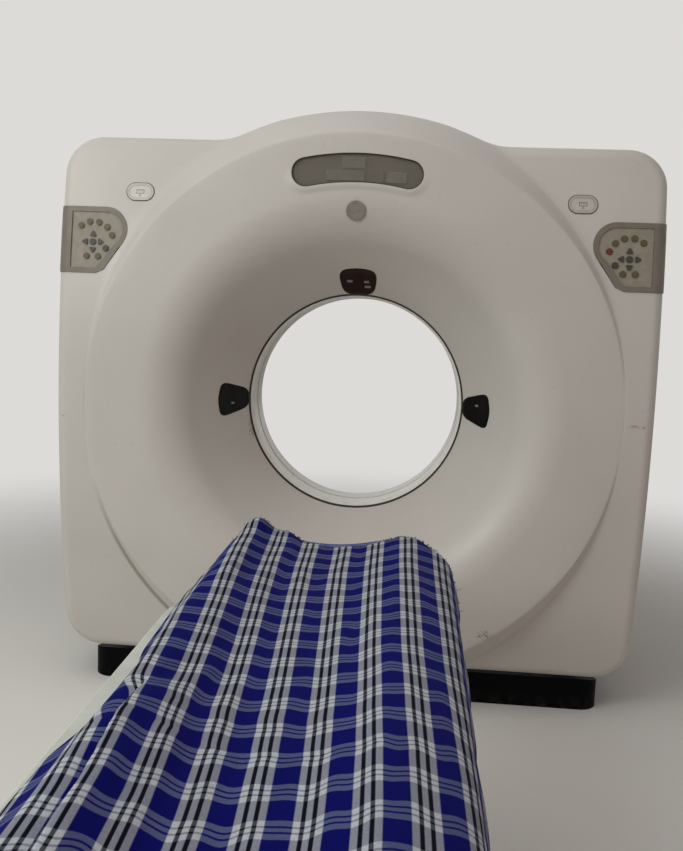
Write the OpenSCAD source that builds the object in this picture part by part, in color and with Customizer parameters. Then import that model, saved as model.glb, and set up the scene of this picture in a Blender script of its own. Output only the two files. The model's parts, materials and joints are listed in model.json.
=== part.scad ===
// Computed tomography scanner: tilting ring gantry on a floor base, with a lifting patient table.
// Millimetres. The origin lies on the floor below the centre of the patient aperture.
// +X is to the right seen from the table side, +Y runs along the aperture away from the table, +Z is up.

/* [Gantry size] */
// Radius of the patient aperture
bore_r = 350; // [340:1:360]
// Half the length of the straight tunnel
tunnel_half = 84; // [70:1:95]
// Depth of the front funnel, from the face to the tunnel
funnel_depth = 324; // [310:1:335]
// Depth of the rear funnel, from the rear face to the tunnel
rear_funnel_depth = 356; // [350:1:370]
// Width of the flat face round the funnel
face_band = 172; // [165:1:180]
// How much larger the drum's radius is than its face's
flank_run = 80; // [70:1:90]
// How far the covers' sides stand outside the drum
side_step = 10; // [5:1:30]
// How far the drum stands above the shoulders
hump_rise = 93; // [80:1:105]
// Height of the front cover's lower edge above the drum's lowest point
front_cut = 74; // [70:1:90]
// Height of the rear cover's lower edge above the drum's lowest point
rear_cut = 150; // [145:1:170]
// Height of the gantry base in its middle depth, at its ends
base_h = 56; // [50:1:80]

/* [Cover form] */
// Wall thickness of the moulded covers
cover_wall = 5; // [4:0.5:7]
// Radius of the slow vertical bow of the shoulders' front
bow_r = 3800; // [3500:50:4200]
// Radius of the covers' corners seen from the front
corner_r = 115; // [90:1:130]
// Radius of the covers' outer edges
edge_r = 35; // [25:1:45]
// Depth of the sloping flank between face and drum
flank_depth = 100; // [80:1:120]
// Radius of the hollow where the drum runs into the shoulders
shoulder_blend_r = 250; // [200:5:300]
// Slope of the funnel, from the front plane
funnel_angle = 57; // [55:0.5:60]
// Radius with which the funnel rolls into the face
funnel_roll_r = 180; // [150:1:200]
// Radial width of the trim ring at each mouth of the tunnel
throat_w = 8; // [6:0.5:12]
// Gap between the front cover and the rear cover
cover_seam = 3; // [1:0.5:5]

/* [Display and windows] */
// Distance of the display window from the face's edge
display_margin = 61; // [50:1:70]
// Height of the display window's band
display_band = 85; // [75:1:95]
// Angle from the middle of the display window to the centre of its round end
display_half_angle = 12.2; // [10:0.1:14]
// How far the display window lies below the face
display_sink = 3; // [1:0.5:3.5]
// Distance of the laser windows from the tunnel's edge
laser_out = 12; // [10:1:16]
// Length of the laser windows across the funnel
laser_band = 81; // [70:1:88]
// Half the width of the laser windows at their inner end
laser_half_w1 = 40; // [30:1:46]
// Half the width of the laser windows at their outer end
laser_half_w2 = 58; // [50:1:64]
// Distance of the plain front disc's middle inside the flat face
disc_in = 55; // [45:1:60]
// Radius of the plain front disc
disc_r = 30; // [24:1:34]

/* [Controls] */
// Distance of the control pods' key cluster from the covers' sides
pod_in = 108; // [102:1:114]
// Depth of the control pods' key cluster below the shoulders
pod_down = 329; // [315:1:345]
// Radius of the round inner end of a control pod
pod_round_r = 70; // [64:1:76]
// Depth of a control pod along the side of the gantry
pod_depth = 110; // [90:1:130]
// How far a control pod stands proud of the cover
pod_proud = 3; // [2:0.5:5]
// Depth of the recess that holds the keypad
pod_recess = 6; // [4:0.5:8]
// Thickness of the keypad's sheet
keypad_t = 1.5; // [1:0.1:2]
// Radius of a key dome
key_r = 10; // [8:0.5:11]
// Spacing of the arrow keys
key_pitch = 24; // [23:0.5:26]
// Distance of the push buttons from the covers' sides
button_in = 250; // [230:1:260]
// Depth of the push buttons below the shoulders
button_down = 172; // [160:1:182]
// Width of a push button's ring
button_w = 84; // [76:1:90]
// Height of a push button's ring
button_h = 53; // [46:1:58]
// Travel of a push button
button_travel = 3; // [2:0.5:4]

/* [Base and towers] */
// How far the gantry base's ends stand inside the covers' sides
base_in = 80; // [60:1:100]
// Half the depth of the gantry base
base_half_d = 286; // [280:1:300]
// Running gap between the tilting covers and the base
base_gap = 10; // [8:0.5:14]
// Wall thickness of the cast base
base_wall = 12; // [10:1:16]
// Distance of the base's anchor holes from its ends
anchor_in = 220; // [200:1:240]
// Distance of the base's anchor holes from its long edges
anchor_edge = 56; // [50:1:70]
// Radius of the base's anchor holes
anchor_r = 9; // [7:0.5:11]
// Distance of the towers' inner faces from the covers' sides
tower_in = 174; // [170:1:180]
// Thickness of a tower
tower_t = 90; // [80:1:92]
// Radius of a tower's bearing head
tower_head_r = 105; // [95:1:115]
// Depth of a tower's foot along the aperture
tower_foot_d = 90; // [80:1:95]
// Offset of the tower's foot behind the tilt axis
tower_foot_y = 90; // [85:1:95]
// Radius of the tilt trunnions
trunnion_r = 50; // [40:1:55]
// Wall of the bushes that the trunnions turn in
bush_wall = 10; // [8:1:12]

/* [Rotor] */
// Gap between the aperture and the rotating plate
rotor_gap = 35; // [30:1:45]
// Radial width of the rotating plate, whose rim is also the belt's pulley
rotor_band = 215; // [205:1:220]
// Thickness of the rotating plate
rotor_t = 35; // [30:1:40]
// Distance of the rotating plate's front from the aperture's centre plane
rotor_y = 40; // [35:1:45]
// Reach of the rotating parts in front of the centre plane
rotor_front = 145; // [120:1:148]
// Distance of the focal spot inside the rotating plate's rim
focus_in = 59; // [55:1:70]
// Distance of the detector's face outside the aperture
detector_gap = 58; // [54:1:64]
// Half the fan angle that the detector covers
fan_half_angle = 27.5; // [25:0.5:28]
// Radius of the tube housing
tube_r = 78; // [70:1:80]
// Distance of the main bearing's running gap outside the aperture
bearing_out = 90; // [86:1:94]
// Radius of the motor's pulley
pulley_r = 50; // [40:1:60]
// Distance of the drive motor from the middle
motor_x = 520; // [510:1:530]
// Distance of the drive motor below the axis
motor_z = 560; // [550:1:570]
// Thickness of the drive belt
belt_t = 5; // [4:0.5:6]
// Width of the drive belt
belt_w = 25; // [20:1:30]

/* [Table] */
// Distance of the cradle's free end from the aperture's centre at rest
cradle_tip = 849; // [830:1:900]
// How far the cradle's rear end stays inside the table cover's
cradle_back = 51; // [40:1:80]
// Gap between the cradle's underside and the aperture
cradle_gap = 13; // [12:1:16]
// Height of the cradle's rim above the lowest point of its round
cradle_side = 75; // [70:1:80]
// Height at which the cradle's round is cut to a flat keel
keel_cut = 7; // [5:1:9]
// Radius of the cradle's hollow
hollow_r = 489; // [480:1:500]
// Thickness of the cradle at its middle
cradle_t = 21; // [18:0.5:24]
// Width of the cradle's bare rim beside the mattress pad
pad_in = 22; // [18:1:30]
// Thickness of the mattress pad
pad_t = 16; // [12:0.5:20]
// How far the cradle reaches out of the table cover at rest
cradle_reach = 555; // [540:1:570]
// Length of the table cover
table_len = 1746; // [1730:1:1800]
// Width of the table cover beside the cradle
table_side = 70; // [64:1:80]
// How far the cradle's rim stands above the table cover
rim_rise = 35; // [30:1:40]
// Height of the table cover
table_h = 163; // [155:1:175]
// Wall thickness of the table cover
table_wall = 5; // [4:0.5:6]
// Distance of the lifting column from the table cover's free end
column_in = 846; // [820:1:880]
// Width of the outer column
column_w = 420; // [380:2:440]
// Depth of the outer column
column_d = 700; // [640:2:720]
// Height of the outer column
column_h = 250; // [240:1:255]
// Wall of each column
column_wall = 6; // [5:0.5:8]
// Space between one column and the next
column_space = 8; // [6:0.5:10]
// How far the table can go down
lift_down = 200; // [180:1:200]
// Thickness of the table's floor plate
table_plate = 40; // [30:1:45]
// How far the floor plate stands out beside the column
plate_side = 90; // [80:1:100]
// How far the floor plate stands out before and behind the column
plate_end = 130; // [120:1:150]

/* [Cloth] */
// Thickness of the cloth
cloth_t = 3; // [2:0.5:4]
// Distance of the cloth's far hem from the cradle's free end
cloth_start = 55; // [40:1:80]
// Distance of the cloth's near hem from the cradle's rear end
cloth_end = 175; // [150:1:200]
// Drop of the cloth's right side below the table cover's edge
cloth_drop = 90; // [60:1:110]

/* [Hidden] */

$fn = 96;
// Clearance between pieces that are seated on each other
seat = 0.3;
// Radial clearance of a running fit
running = 0.05;
// Fineness of circles metres across
big_fn = 360;
// How far the cover's edge roundings run out past its faces
skim = 0.15;

// Covers, from the aperture outwards
front_reach = tunnel_half + funnel_depth;
rear_reach = tunnel_half + rear_funnel_depth;
cone_w = (funnel_depth - funnel_roll_r * (1 - cos(funnel_angle))) / tan(funnel_angle);
flat_r = bore_r + cone_w + funnel_roll_r * sin(funnel_angle);
face_r = round(flat_r) + face_band;
drum_r = face_r + flank_run;
flank_slope = flank_run / flank_depth;
gantry_half_w = drum_r + side_step;
shoulder_h = drum_r - hump_rise;
front_drop = drum_r - front_cut;
rear_drop = drum_r - rear_cut;
bow_cy = bow_r - front_reach;
bow_low = sqrt(bow_r * bow_r - front_drop * front_drop) - bow_cy;

// Base, which the covers' lower corners just clear when they tilt
base_top_r = ceil(norm([front_drop - edge_r, bow_low - edge_r]) + edge_r) + base_gap;
base_mid_r = ceil(norm([front_drop, front_reach - (front_drop - face_r) / flank_slope])) + base_gap;
axis_h = base_h + base_top_r;
base_half_w = gantry_half_w - base_in;
base_corner = 60;
anchor_x = base_half_w - anchor_in;
anchor_y = base_half_d - anchor_edge;
tower_x = gantry_half_w - tower_in;
tower_foot_z = base_h + 7;
bush_r = trunnion_r + bush_wall;

// Display, windows and controls
display_r2 = face_r - display_margin;
display_r1 = display_r2 - display_band;
laser_r1 = bore_r + laser_out;
laser_r2 = laser_r1 + laser_band;
disc_h = round(flat_r) - disc_in;
pod_key_x = gantry_half_w - pod_in;
pod_key_z = shoulder_h - pod_down;
pod_low = pod_key_z - 95;
pod_top = pod_key_z + 108;
button_x = gantry_half_w - button_in;
button_z = shoulder_h - button_down;
// Round keys about the middle of the arrow cluster, outwards being positive x
key_places = concat([for (k = [0:4]) polar(63, 52 + 27 * k)], [[0, 0], [-41, -19], [18, -44], [-18, -44]]);

// Rotor and what carries it
rotor_r1 = bore_r + rotor_gap;
rotor_r2 = rotor_r1 + rotor_band;
focus_r = rotor_r2 - focus_in;
focus_to_detector = focus_r + bore_r + detector_gap;
bearing_r = bore_r + bearing_out;
plate_y = rotor_y + rotor_t + 20;
plate_t = 50;
plate_half = tower_x - 56;
bearing_y = rotor_y + rotor_t;
motor_angle = atan2(-motor_z, motor_x);
motor_dist = norm([motor_x, motor_z]);
belt_lean = acos((rotor_r2 - pulley_r) / motor_dist);
belt_y = rotor_y + 5;

// Table
cradle_r = bore_r - cradle_gap;
cradle_rim = cradle_r - cradle_side;
cradle_keel = cradle_r - keel_cut;
table_front = cradle_tip + cradle_reach;
cradle_len = cradle_reach + table_len - cradle_back;
keel_z = axis_h - cradle_keel;
hollow_cz = keel_z + cradle_t + hollow_r;
rim_z = axis_h - cradle_rim;
rim_x = sqrt(cradle_r * cradle_r - cradle_rim * cradle_rim);
pad_half_w = round(rim_x) - pad_in;
channel_x = round(rim_x) + 16;
channel_z = keel_z - 18;
table_half_w = round(rim_x) + table_side;
table_top_z = rim_z - rim_rise;
table_low_z = table_top_z - table_h;
frame_z = table_low_z + 13;
rail_z = frame_z + 42;
rail_x = 130;
slot_x = 72;
roller_r = 25;
roller_y = table_front + 46;
roller_z = keel_z - roller_r - seat;
column_y = table_front + column_in;
middle_w = column_w - 2 * column_wall - 2 * column_space;
middle_d = column_d - 2 * column_wall - 2 * column_space;
inner_w = middle_w - 2 * column_wall - 2 * column_space;
inner_d = middle_d - 2 * column_wall - 2 * column_space;
middle_z = table_plate + 5 + lift_down / 2;
inner_z = table_plate + 10 + lift_down;
middle_h = column_h + 1;
cylinder_r = 45;
sleeve_r = 35;
rod_r = 25;
cloth_len = cradle_len - cloth_start - cloth_end;

white = "#d9d7d2";
taupe = "#9a938a";
steel = "#8a8d90";
black = "#17181b";

function bow_y(z) = bow_cy - sqrt(bow_r * bow_r - z * z);
function polar(r, a) = [r * cos(a), r * sin(a)];

// Puts a shape drawn in x and height, extruded from the centre plane towards the table, in place
module from_front(y0, y1) {
    translate([0, y1, axis_h]) rotate([90, 0, 0]) linear_extrude(y1 - y0) children();
}

// Turns a profile of radius and distance in front of the centre plane round the aperture's axis
module round_axis(fn = 180, angle = 360) {
    translate([0, 0, axis_h]) rotate([90, 0, 0]) rotate_extrude(angle = angle, $fn = fn) children();
}

// Puts a profile of depth and height, extruded from x0 to x1, in place
module from_side(x0, x1) {
    translate([x0, 0, 0]) rotate([90, 0, 90]) linear_extrude(x1 - x0) children();
}

module tube_y(r2, r1, y0, y1) {
    translate([0, y0, axis_h]) rotate([-90, 0, 0]) difference() {
        cylinder(r = r2, h = y1 - y0, $fn = 180);
        translate([0, 0, -1]) cylinder(r = r1, h = y1 - y0 + 2, $fn = 180);
    }
}

module stadium(w, h) {
    square([w - h, h], center = true);
    for (s = [-1, 1]) translate([s * (w - h) / 2, 0]) circle(h / 2);
}

module round_box_2d(w, h, r) {
    square([w - 2 * r, h], center = true);
    square([w, h - 2 * r], center = true);
    for (x = [-1, 1], y = [-1, 1]) translate([x * (w / 2 - r), y * (h / 2 - r)]) circle(r);
}

// What is outside a rounding of radius r about the origin, between two angles
module rounding_waste(r, a1, a2) {
    difference() {
        polygon([[0, 0], 4 * polar(r, a1), 6 * polar(r, (a1 + a2) / 2), 4 * polar(r, a2)]);
        circle(r);
    }
}

// Gantry covers

// Outline of the shoulders seen from the front, moved inwards by i
module shoulder_outline(i, drop) {
    w = gantry_half_w - i;
    r = corner_r - i;
    top = shoulder_h - i;
    low = drop - i;
    translate([-w + r, -low]) square([2 * (w - r), low + top]);
    translate([-w, -low + r]) square([2 * w, low + top - 2 * r]);
    for (s = [-1, 1]) {
        translate([s * (w - r), top - r]) circle(r);
        translate([s * (w - r), r - low]) circle(r);
        scale([s, 1]) hump_root(i);
    }
}

// Hollow corner where the drum runs into the shoulder
module hump_root(i) {
    r = shoulder_blend_r + i;
    cz = shoulder_h - i + r;
    cx = sqrt(pow(drum_r - i + r, 2) - cz * cz);
    touch = (drum_r - i) / (drum_r - i + r) * [cx, cz];
    difference() {
        polygon([touch, [touch[0], 600], [cx, 600], [cx, shoulder_h - i]]);
        translate([cx, cz]) circle(r);
    }
}

// Shoulders with the bowed front and rolled side edges, moved inwards by i
module front_shoulders(i) {
    intersection() {
        from_front(-front_reach - 20, -cover_seam / 2) shoulder_outline(i, front_drop);
        translate([0, bow_cy, axis_h]) rotate([0, 90, 0]) rotate([0, 0, 255])
            rotate_extrude(angle = 30, $fn = big_fn) bow_profile(i);
        from_side(-gantry_half_w, gantry_half_w) difference() {
            translate([-front_reach - 20, axis_h - front_drop - 10])
                square([front_reach + 20, front_drop + drum_r]);
            for (e = [[shoulder_h - edge_r, 1], [edge_r - front_drop, -1]]) edge_waste(e[0], e[1], i);
        }
    }
}

// Section of the bowed shoulders across the gantry
module bow_profile(i) {
    w = gantry_half_w;
    difference() {
        translate([bow_r - i - 500, i - w]) square([500, 2 * (w - i)]);
        for (s = [-1, 1]) translate([bow_r - edge_r + skim, s * (w - edge_r + skim)])
            rounding_waste(edge_r - i, min(0, s * 90), max(0, s * 90));
    }
}

module edge_waste(h, up, i) {
    cz = h + up * skim;
    cy = bow_cy - sqrt(pow(bow_r - edge_r + skim, 2) - cz * cz);
    lean = atan2(cz, cy - bow_cy);
    translate([cy, axis_h + cz])
        rounding_waste(edge_r - i, min(up * 90, lean), max(up * 90, lean));
}

module rear_shoulders(i) {
    back = rear_reach - i;
    r = edge_r - i;
    from_front(cover_seam / 2, rear_reach - flank_depth) for (s = [-1, 1]) scale([s, 1]) hump_root(i);
    intersection() {
        from_front(cover_seam / 2, rear_reach) shoulder_outline(i, rear_drop);
        translate([0, 0, axis_h - rear_drop - 10]) linear_extrude(rear_drop + shoulder_h + 20) {
            translate([-gantry_half_w + i + r, 0]) square([2 * (gantry_half_w - i - r), back]);
            translate([-gantry_half_w + i, 0]) square([2 * (gantry_half_w - i), back - r]);
            for (s = [-1, 1]) translate([s * (gantry_half_w - i - r), back - r]) circle(r);
        }
        from_side(-gantry_half_w, gantry_half_w) {
            translate([0, axis_h - rear_drop]) square([back, rear_drop + shoulder_h - edge_r]);
            square([back - r, axis_h + shoulder_h]);
            translate([back - r, axis_h + shoulder_h - edge_r]) circle(r);
        }
    }
}

// Round drum with its face and sloping flank, moved inwards by i
module drum(i, reach, drop) {
    lean = atan(flank_slope);
    face = face_r - i * (1 - sin(lean)) / cos(lean);
    side = flank_depth - i * (1 / sin(lean) - 1 / tan(lean));
    intersection() {
        round_axis() polygon([[0, cover_seam / 2], [drum_r - i, cover_seam / 2],
            [drum_r - i, reach - flank_depth - i + i * (1 - cos(lean)) / sin(lean)],
            [face, reach - i], [0, reach - i]]);
        translate([-drum_r, -reach - 1, axis_h - drop + i])
            cube([2 * drum_r, 2 * reach + 2, drop + drum_r + 10]);
    }
}

// Funnel that opens from the tunnel to a face at distance reach, grown by g into the wall
module funnel(g, reach) {
    a = funnel_angle;
    roll = funnel_roll_r - g;
    cz = reach - funnel_roll_r;
    flat = bore_r + (reach - tunnel_half - funnel_roll_r * (1 - cos(a))) / tan(a) + funnel_roll_r * sin(a);
    mouth = bore_r + throat_w + g;
    edge = flat - roll * sin(a);
    low = cz + roll * cos(a) - (edge - mouth) * tan(a);
    round_axis() difference() {
        polygon([[0, -2], [mouth, -2], [mouth, low], [edge, cz + roll * cos(a)],
                 [flat, cz], [flat, reach + 60], [0, reach + 60]]);
        translate([flat, cz + skim]) circle(roll, $fn = 240);
    }
}

module cover_shell(reach, drop) {
    difference() {
        children(0);
        funnel(0, reach);
        difference() {
            children(1);
            funnel(cover_wall, reach);
        }
    }
}

module front_cover() {
    w = cover_wall;
    color(white) {
        difference() {
            cover_shell(front_reach, front_drop) {
                union() { front_shoulders(0); drum(0, front_reach, front_drop); }
                union() { front_shoulders(w); drum(w, front_reach, front_drop); }
            }
            // Open underside, through which the towers pass
            translate([-gantry_half_w + 40, bow_y(front_drop) + edge_r + 2 * w, axis_h - front_drop - 5])
                cube([2 * gantry_half_w - 80, front_reach, 4 * w]);
            from_front(-front_reach - 10, -front_reach + 40) display_outline(0.5);
            laser_places() laser_outline(0.5);
            for (s = [-1, 1]) {
                pod_block(s, 0.5, pod_depth + 0.5);
                at_button(s) translate([0, 0, -20])
                    linear_extrude(40) stadium(button_w - 12 + 1, button_h - 12 + 1);
            }
            at_disc() translate([0, 0, -2.2]) cylinder(r = disc_r + 0.2, h = 20);
        }
        display_lip();
    }
}

// Raised lip moulded below the display
module display_lip() {
    r = display_r1 - 27;
    reach = display_half_angle + 2;
    translate([0, 0, axis_h]) rotate([90, 0, 0]) rotate([0, 0, 90 - reach])
        rotate_extrude(angle = 2 * reach, $fn = 180) intersection() {
            translate([r, front_reach - 0.5]) circle(6);
            translate([r - 10, front_reach - 0.5]) square([20, 10]);
        }
}

module rear_cover() {
    w = cover_wall;
    color(white) {
        difference() {
            mirror([0, 1, 0]) cover_shell(rear_reach, rear_drop) {
                mirror([0, 1, 0]) union() { rear_shoulders(0); rear_drum(0); }
                mirror([0, 1, 0]) union() { rear_shoulders(w); rear_drum(w); }
            }
            translate([-gantry_half_w + 40, -1, axis_h - rear_drop - 5])
                cube([2 * gantry_half_w - 80, rear_reach + 1 - 2 * w, 4 * w]);
        }
    }
}

module rear_drum(i) {
    mirror([0, 1, 0]) drum(i, rear_reach, rear_drop);
}

module display_outline(g) {
    mid = (display_r1 + display_r2) / 2;
    half = (display_r2 - display_r1) / 2 + g;
    reach = display_half_angle;
    intersection() {
        difference() {
            circle(mid + half, $fn = 240);
            circle(mid - half, $fn = 240);
        }
        polygon([[0, 0], polar(1200, 90 - reach), polar(1200, 90 + reach)]);
    }
    for (s = [-1, 1]) translate(polar(mid, 90 + s * reach)) circle(half);
}

module display_window() {
    y = -front_reach + display_sink;
    color("#3a3634") from_front(y, y + 4) display_outline(0);
}

// Three liquid crystal modules on the board behind the window
module display_panels() {
    y = -front_reach + display_sink + 4;
    color("#7d837c") from_front(y, y + 6) {
        translate([-47, display_r1 + 42]) square([69, 34]);
        translate([-92, display_r1 + 6]) square([112, 29]);
        translate([76, display_r1 + 2]) square([70, 31]);
    }
    color("#2c4a34") from_front(y + 6, y + 10) intersection() {
        display_outline(-4);
        translate([-200, 0]) square([400, drum_r]);
    }
}

module laser_outline(g) {
    for (a = [0, 90, 180]) rotate(a)
        polygon([[laser_r1 - g, -laser_half_w1 - g], [laser_r2 + g, -laser_half_w2 - g],
                 [laser_r2 + g, laser_half_w2 + g], [laser_r1 - g, laser_half_w1 + g]]);
}

module laser_places() {
    from_front(-front_reach, -tunnel_half) children();
}

module laser_windows() {
    color(black) intersection() {
        difference() {
            funnel(cover_wall, front_reach);
            funnel(-1.5, front_reach);
        }
        laser_places() laser_outline(0);
    }
}

// Line lasers fixed behind their windows
module laser_modules() {
    color("#2b2d31") difference() {
        for (a = [0, 90, 180]) translate([0, 0, axis_h]) rotate([0, -a, 0])
            translate([laser_r2 - 18, -rotor_front - 115, -30]) cube([65, 105, 60]);
        funnel(cover_wall + seat, front_reach);
    }
}

// Frame of the plain disc: its middle on the funnel's roll, with +Z square to the surface
module at_disc() {
    lean = asin((flat_r - disc_h) / funnel_roll_r);
    translate([0, -(front_reach - funnel_roll_r * (1 - cos(lean))), axis_h + disc_h])
        rotate([90 + lean, 0, 0]) children();
}

module front_disc() {
    color("#a7a9a6") at_disc() translate([0, 0, -2]) {
        cylinder(r = disc_r, h = 5);
        translate([0, 0, 5]) difference() {
            cylinder(r = disc_r - 3, h = 1);
            translate([0, 0, -1]) cylinder(r = disc_r - 6, h = 3);
        }
    }
}

module at_button(s) {
    lean = asin(button_z / bow_r);
    translate([s * button_x, bow_y(button_z), axis_h + button_z]) rotate([90 - lean, 0, 0]) children();
}

// Ring and switch cup of each push button
module button_rings() {
    color("#8f9192") for (s = [-1, 1]) at_button(s) {
        translate([0, 0, 0.4]) linear_extrude(3) difference() {
            stadium(button_w, button_h);
            stadium(button_w - 16, button_h - 16);
        }
        translate([0, 0, -16]) linear_extrude(16.4) difference() {
            stadium(button_w - 12, button_h - 12);
            stadium(button_w - 16, button_h - 16);
        }
        translate([0, 0, -18]) linear_extrude(2) stadium(button_w - 12, button_h - 12);
    }
}

module push_button(s) {
    color("#e4e3df") at_button(s) {
        translate([0, 0, -8]) linear_extrude(11) stadium(button_w - 17, button_h - 17);
        translate([0, 0, -16 + button_travel + 0.5]) cylinder(r = 6, h = 8 - button_travel);
    }
}

module left_push_button() { push_button(-1); }
module right_push_button() { push_button(1); }

// Control pods

// Outline of a control pod for the right side, grown by g
module pod_outline(g) {
    cx = pod_key_x - 37;
    cz = pod_top - pod_round_r;
    a = polar(pod_round_r + g - 3, 215);
    translate([cx, cz]) circle(pod_round_r + g + skim);
    translate([cx, cz - 40]) square([gantry_half_w + 40 - cx, pod_top + g - cz + 40]);
    polygon([[cx + a[0], cz + a[1]], [cx - 1 - g, pod_low + 12 - g], [cx + 25, pod_low - g],
             [gantry_half_w + 40, pod_low - g], [gantry_half_w + 40, cz - 20], [cx + 20, cz - 20]]);
}

module pod_block(s, g, depth) {
    scale([s, 1, 1]) from_front(-front_reach - 30, depth - front_reach) pod_outline(g);
}

module control_pod(s) {
    color(taupe) difference() {
        intersection() {
            pod_block(s, 0, pod_depth);
            front_shoulders(-pod_proud);
        }
        front_shoulders(cover_wall + pod_recess);
        at_pod(s) translate([0, 0, pod_proud - pod_recess]) linear_extrude(40) keypad_outline(0);
    }
}

// Frame of a control pod: origin at the key cluster on the cover, +Z square to the cover
module at_pod(s) {
    lean = asin(pod_key_z / bow_r);
    scale([s, 1, 1]) translate([pod_key_x, bow_y(pod_key_z), axis_h + pod_key_z])
        rotate([90 - lean, 0, 0]) children();
}

module keypad_outline(g) {
    translate([-pod_key_x, -pod_key_z]) intersection() {
        pod_outline(g - 15);
        translate([0, pod_low + 10]) square([pod_key_x + 68 + g, 300]);
    }
}

module left_control_pod() { control_pod(-1); }
module right_control_pod() { control_pod(1); }

// Arrow key seen from the front: a rounded triangle that points in direction a
module arrow_2d(a) {
    r = 3.5;
    tip = [6, 0];
    foot = [-4, 6];
    n = (r - 0.05) * [3, 5] / norm([3, 5]);
    rotate(a) {
        polygon([[foot[0] - r + 0.05, -foot[1]], [foot[0] + n[0], -foot[1] - n[1]], [tip[0] + n[0], -n[1]],
                 [tip[0] + n[0], n[1]], [foot[0] + n[0], foot[1] + n[1]], [foot[0] - r + 0.05, foot[1]]]);
        translate(tip) circle(r);
        for (v = [-1, 1]) translate([foot[0], v * foot[1]]) circle(r);
    }
}

// Sealed membrane keypad: one moulded sheet with a dome over each switch
module keypad(s) {
    color("#8b8579") at_pod(s) translate([0, 0, pod_proud - pod_recess]) {
        linear_extrude(keypad_t) keypad_outline(-seat);
        for (p = key_places) translate([p[0], p[1], 0]) {
            cylinder(r = key_r, h = keypad_t + 3);
            cylinder(r = key_r - 2, h = keypad_t + 4);
        }
        for (a = [0:90:270]) translate([key_pitch * cos(a), key_pitch * sin(a), 0])
            linear_extrude(keypad_t + 3.5) arrow_2d(a);
    }
}

module left_keypad() { keypad(-1); }
module right_keypad() { keypad(1); }

// Tunnel

module bore_liner() {
    color("#dddcd8") for (s = [-1, 1])
        tube_y(bore_r + 5, bore_r, min(s * 12, s * (tunnel_half - 6)), max(s * 12, s * (tunnel_half - 6)));
}

// Thin film ring through which the beam passes, with its two beads
module scan_window() {
    color("#b9b7ae") {
        tube_y(bore_r + 4, bore_r + 1.5, -12, 12);
    }
}

// Trim ring at each mouth of the tunnel, flush with the funnel
module throat_rings() {
    slope = throat_w * tan(funnel_angle);
    color("#c9c8c3") for (s = [0, 1]) mirror([0, s, 0]) round_axis()
        polygon([[bore_r, tunnel_half - 6], [bore_r + throat_w - seat, tunnel_half - 6],
                 [bore_r + throat_w - seat, tunnel_half + slope], [bore_r, tunnel_half]]);
}

// Tilting frame

module plate_outline(h) {
    c = 170;
    polygon([[-h + c, -h], [h - c, -h], [h, -h + c], [h, h - c],
             [h - c, h], [-h + c, h], [-h, h - c], [-h, -h + c]]);
}

module tilt_frame() {
    arm_r = 90;
    color(steel) difference() {
        union() {
            from_front(plate_y, plate_y + plate_t) difference() {
                plate_outline(plate_half);
                circle(bearing_r + 30, $fn = 180);
            }
            for (s = [-1, 1]) scale([s, 1, 1]) {
                translate([rotor_r2 + 40, -60, axis_h - arm_r])
                    cube([tower_x - 11 - rotor_r2 - 40, plate_y + 60 + plate_t, 2 * arm_r]);
            }
        }
        translate([motor_x, plate_y - 1, axis_h - motor_z]) rotate([-90, 0, 0])
            cylinder(r = 20, h = plate_t + 2);
        for (a = [45:90:315]) translate([0, plate_y - 1, axis_h]) rotate([0, a, 0])
            translate([570, 0, 0]) rotate([-90, 0, 0]) cylinder(r = 45, h = plate_t + 2);
    }
}

module trunnion_pins() {
    color("#b5b8bb") for (s = [-1, 1]) translate([s * (tower_x - 11), 0, axis_h]) rotate([0, s * 90, 0]) {
        cylinder(r = 80, h = 8);
        cylinder(r = trunnion_r, h = tower_t + 15);
    }
}

module bearing_outer_ring() {
    color("#a4a7aa") {
        tube_y(bearing_r + 29.7, bearing_r, plate_y, plate_y + plate_t);
        tube_y(bearing_r + 70, bearing_r, plate_y - 17, plate_y);
    }
}

// Stand-offs that carry the covers on the frame
module cover_posts() {
    x = 640;
    z = 430;
    r = 15;
    front = bow_y(z + r) + cover_wall + 1;
    back = plate_y + plate_t;
    color(steel) for (sx = [-1, 1], sz = [-1, 1])
        translate([sx * x, 0, axis_h + sz * z]) rotate([-90, 0, 0]) {
            translate([0, 0, front]) cylinder(r = r, h = plate_y - front);
            translate([0, 0, back]) cylinder(r = r, h = rear_reach - cover_wall - back);
        }
}

module drive_motor() {
    y = plate_y + plate_t;
    color("#4a4e55") translate([motor_x, y, axis_h - motor_z]) rotate([-90, 0, 0]) difference() {
        union() {
            translate([0, 0, 0]) cylinder(r = 70, h = 12);
            translate([0, 0, 12]) cylinder(r = 82, h = 170);
            translate([-60, 60, 50]) cube([120, 40, 90]);
        }
        translate([0, 0, -1]) cylinder(r = 12 + running, h = 60);
    }
}

module motor_pulley() {
    color("#b5b8bb") translate([motor_x, belt_y - 3, axis_h - motor_z]) rotate([-90, 0, 0]) {
        cylinder(r = pulley_r, h = belt_w + 6);
        cylinder(r = 12, h = plate_y + plate_t + 50 - belt_y);
    }
}

// Region inside a loop that runs round two circles
module belt_region(grow) {
    m = [motor_x, -motor_z];
    circle(rotor_r2 + grow, $fn = 240);
    translate(m) circle(pulley_r + grow);
    polygon([for (q = [[0, -1], [1, -1], [1, 1], [0, 1]])
        q[0] * m + polar((q[0] == 0 ? rotor_r2 : pulley_r) + grow - 0.1, motor_angle + q[1] * belt_lean)]);
}

module drive_belt() {
    color(black) from_front(belt_y, belt_y + belt_w) difference() {
        belt_region(seat + belt_t);
        belt_region(seat);
    }
}

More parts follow.
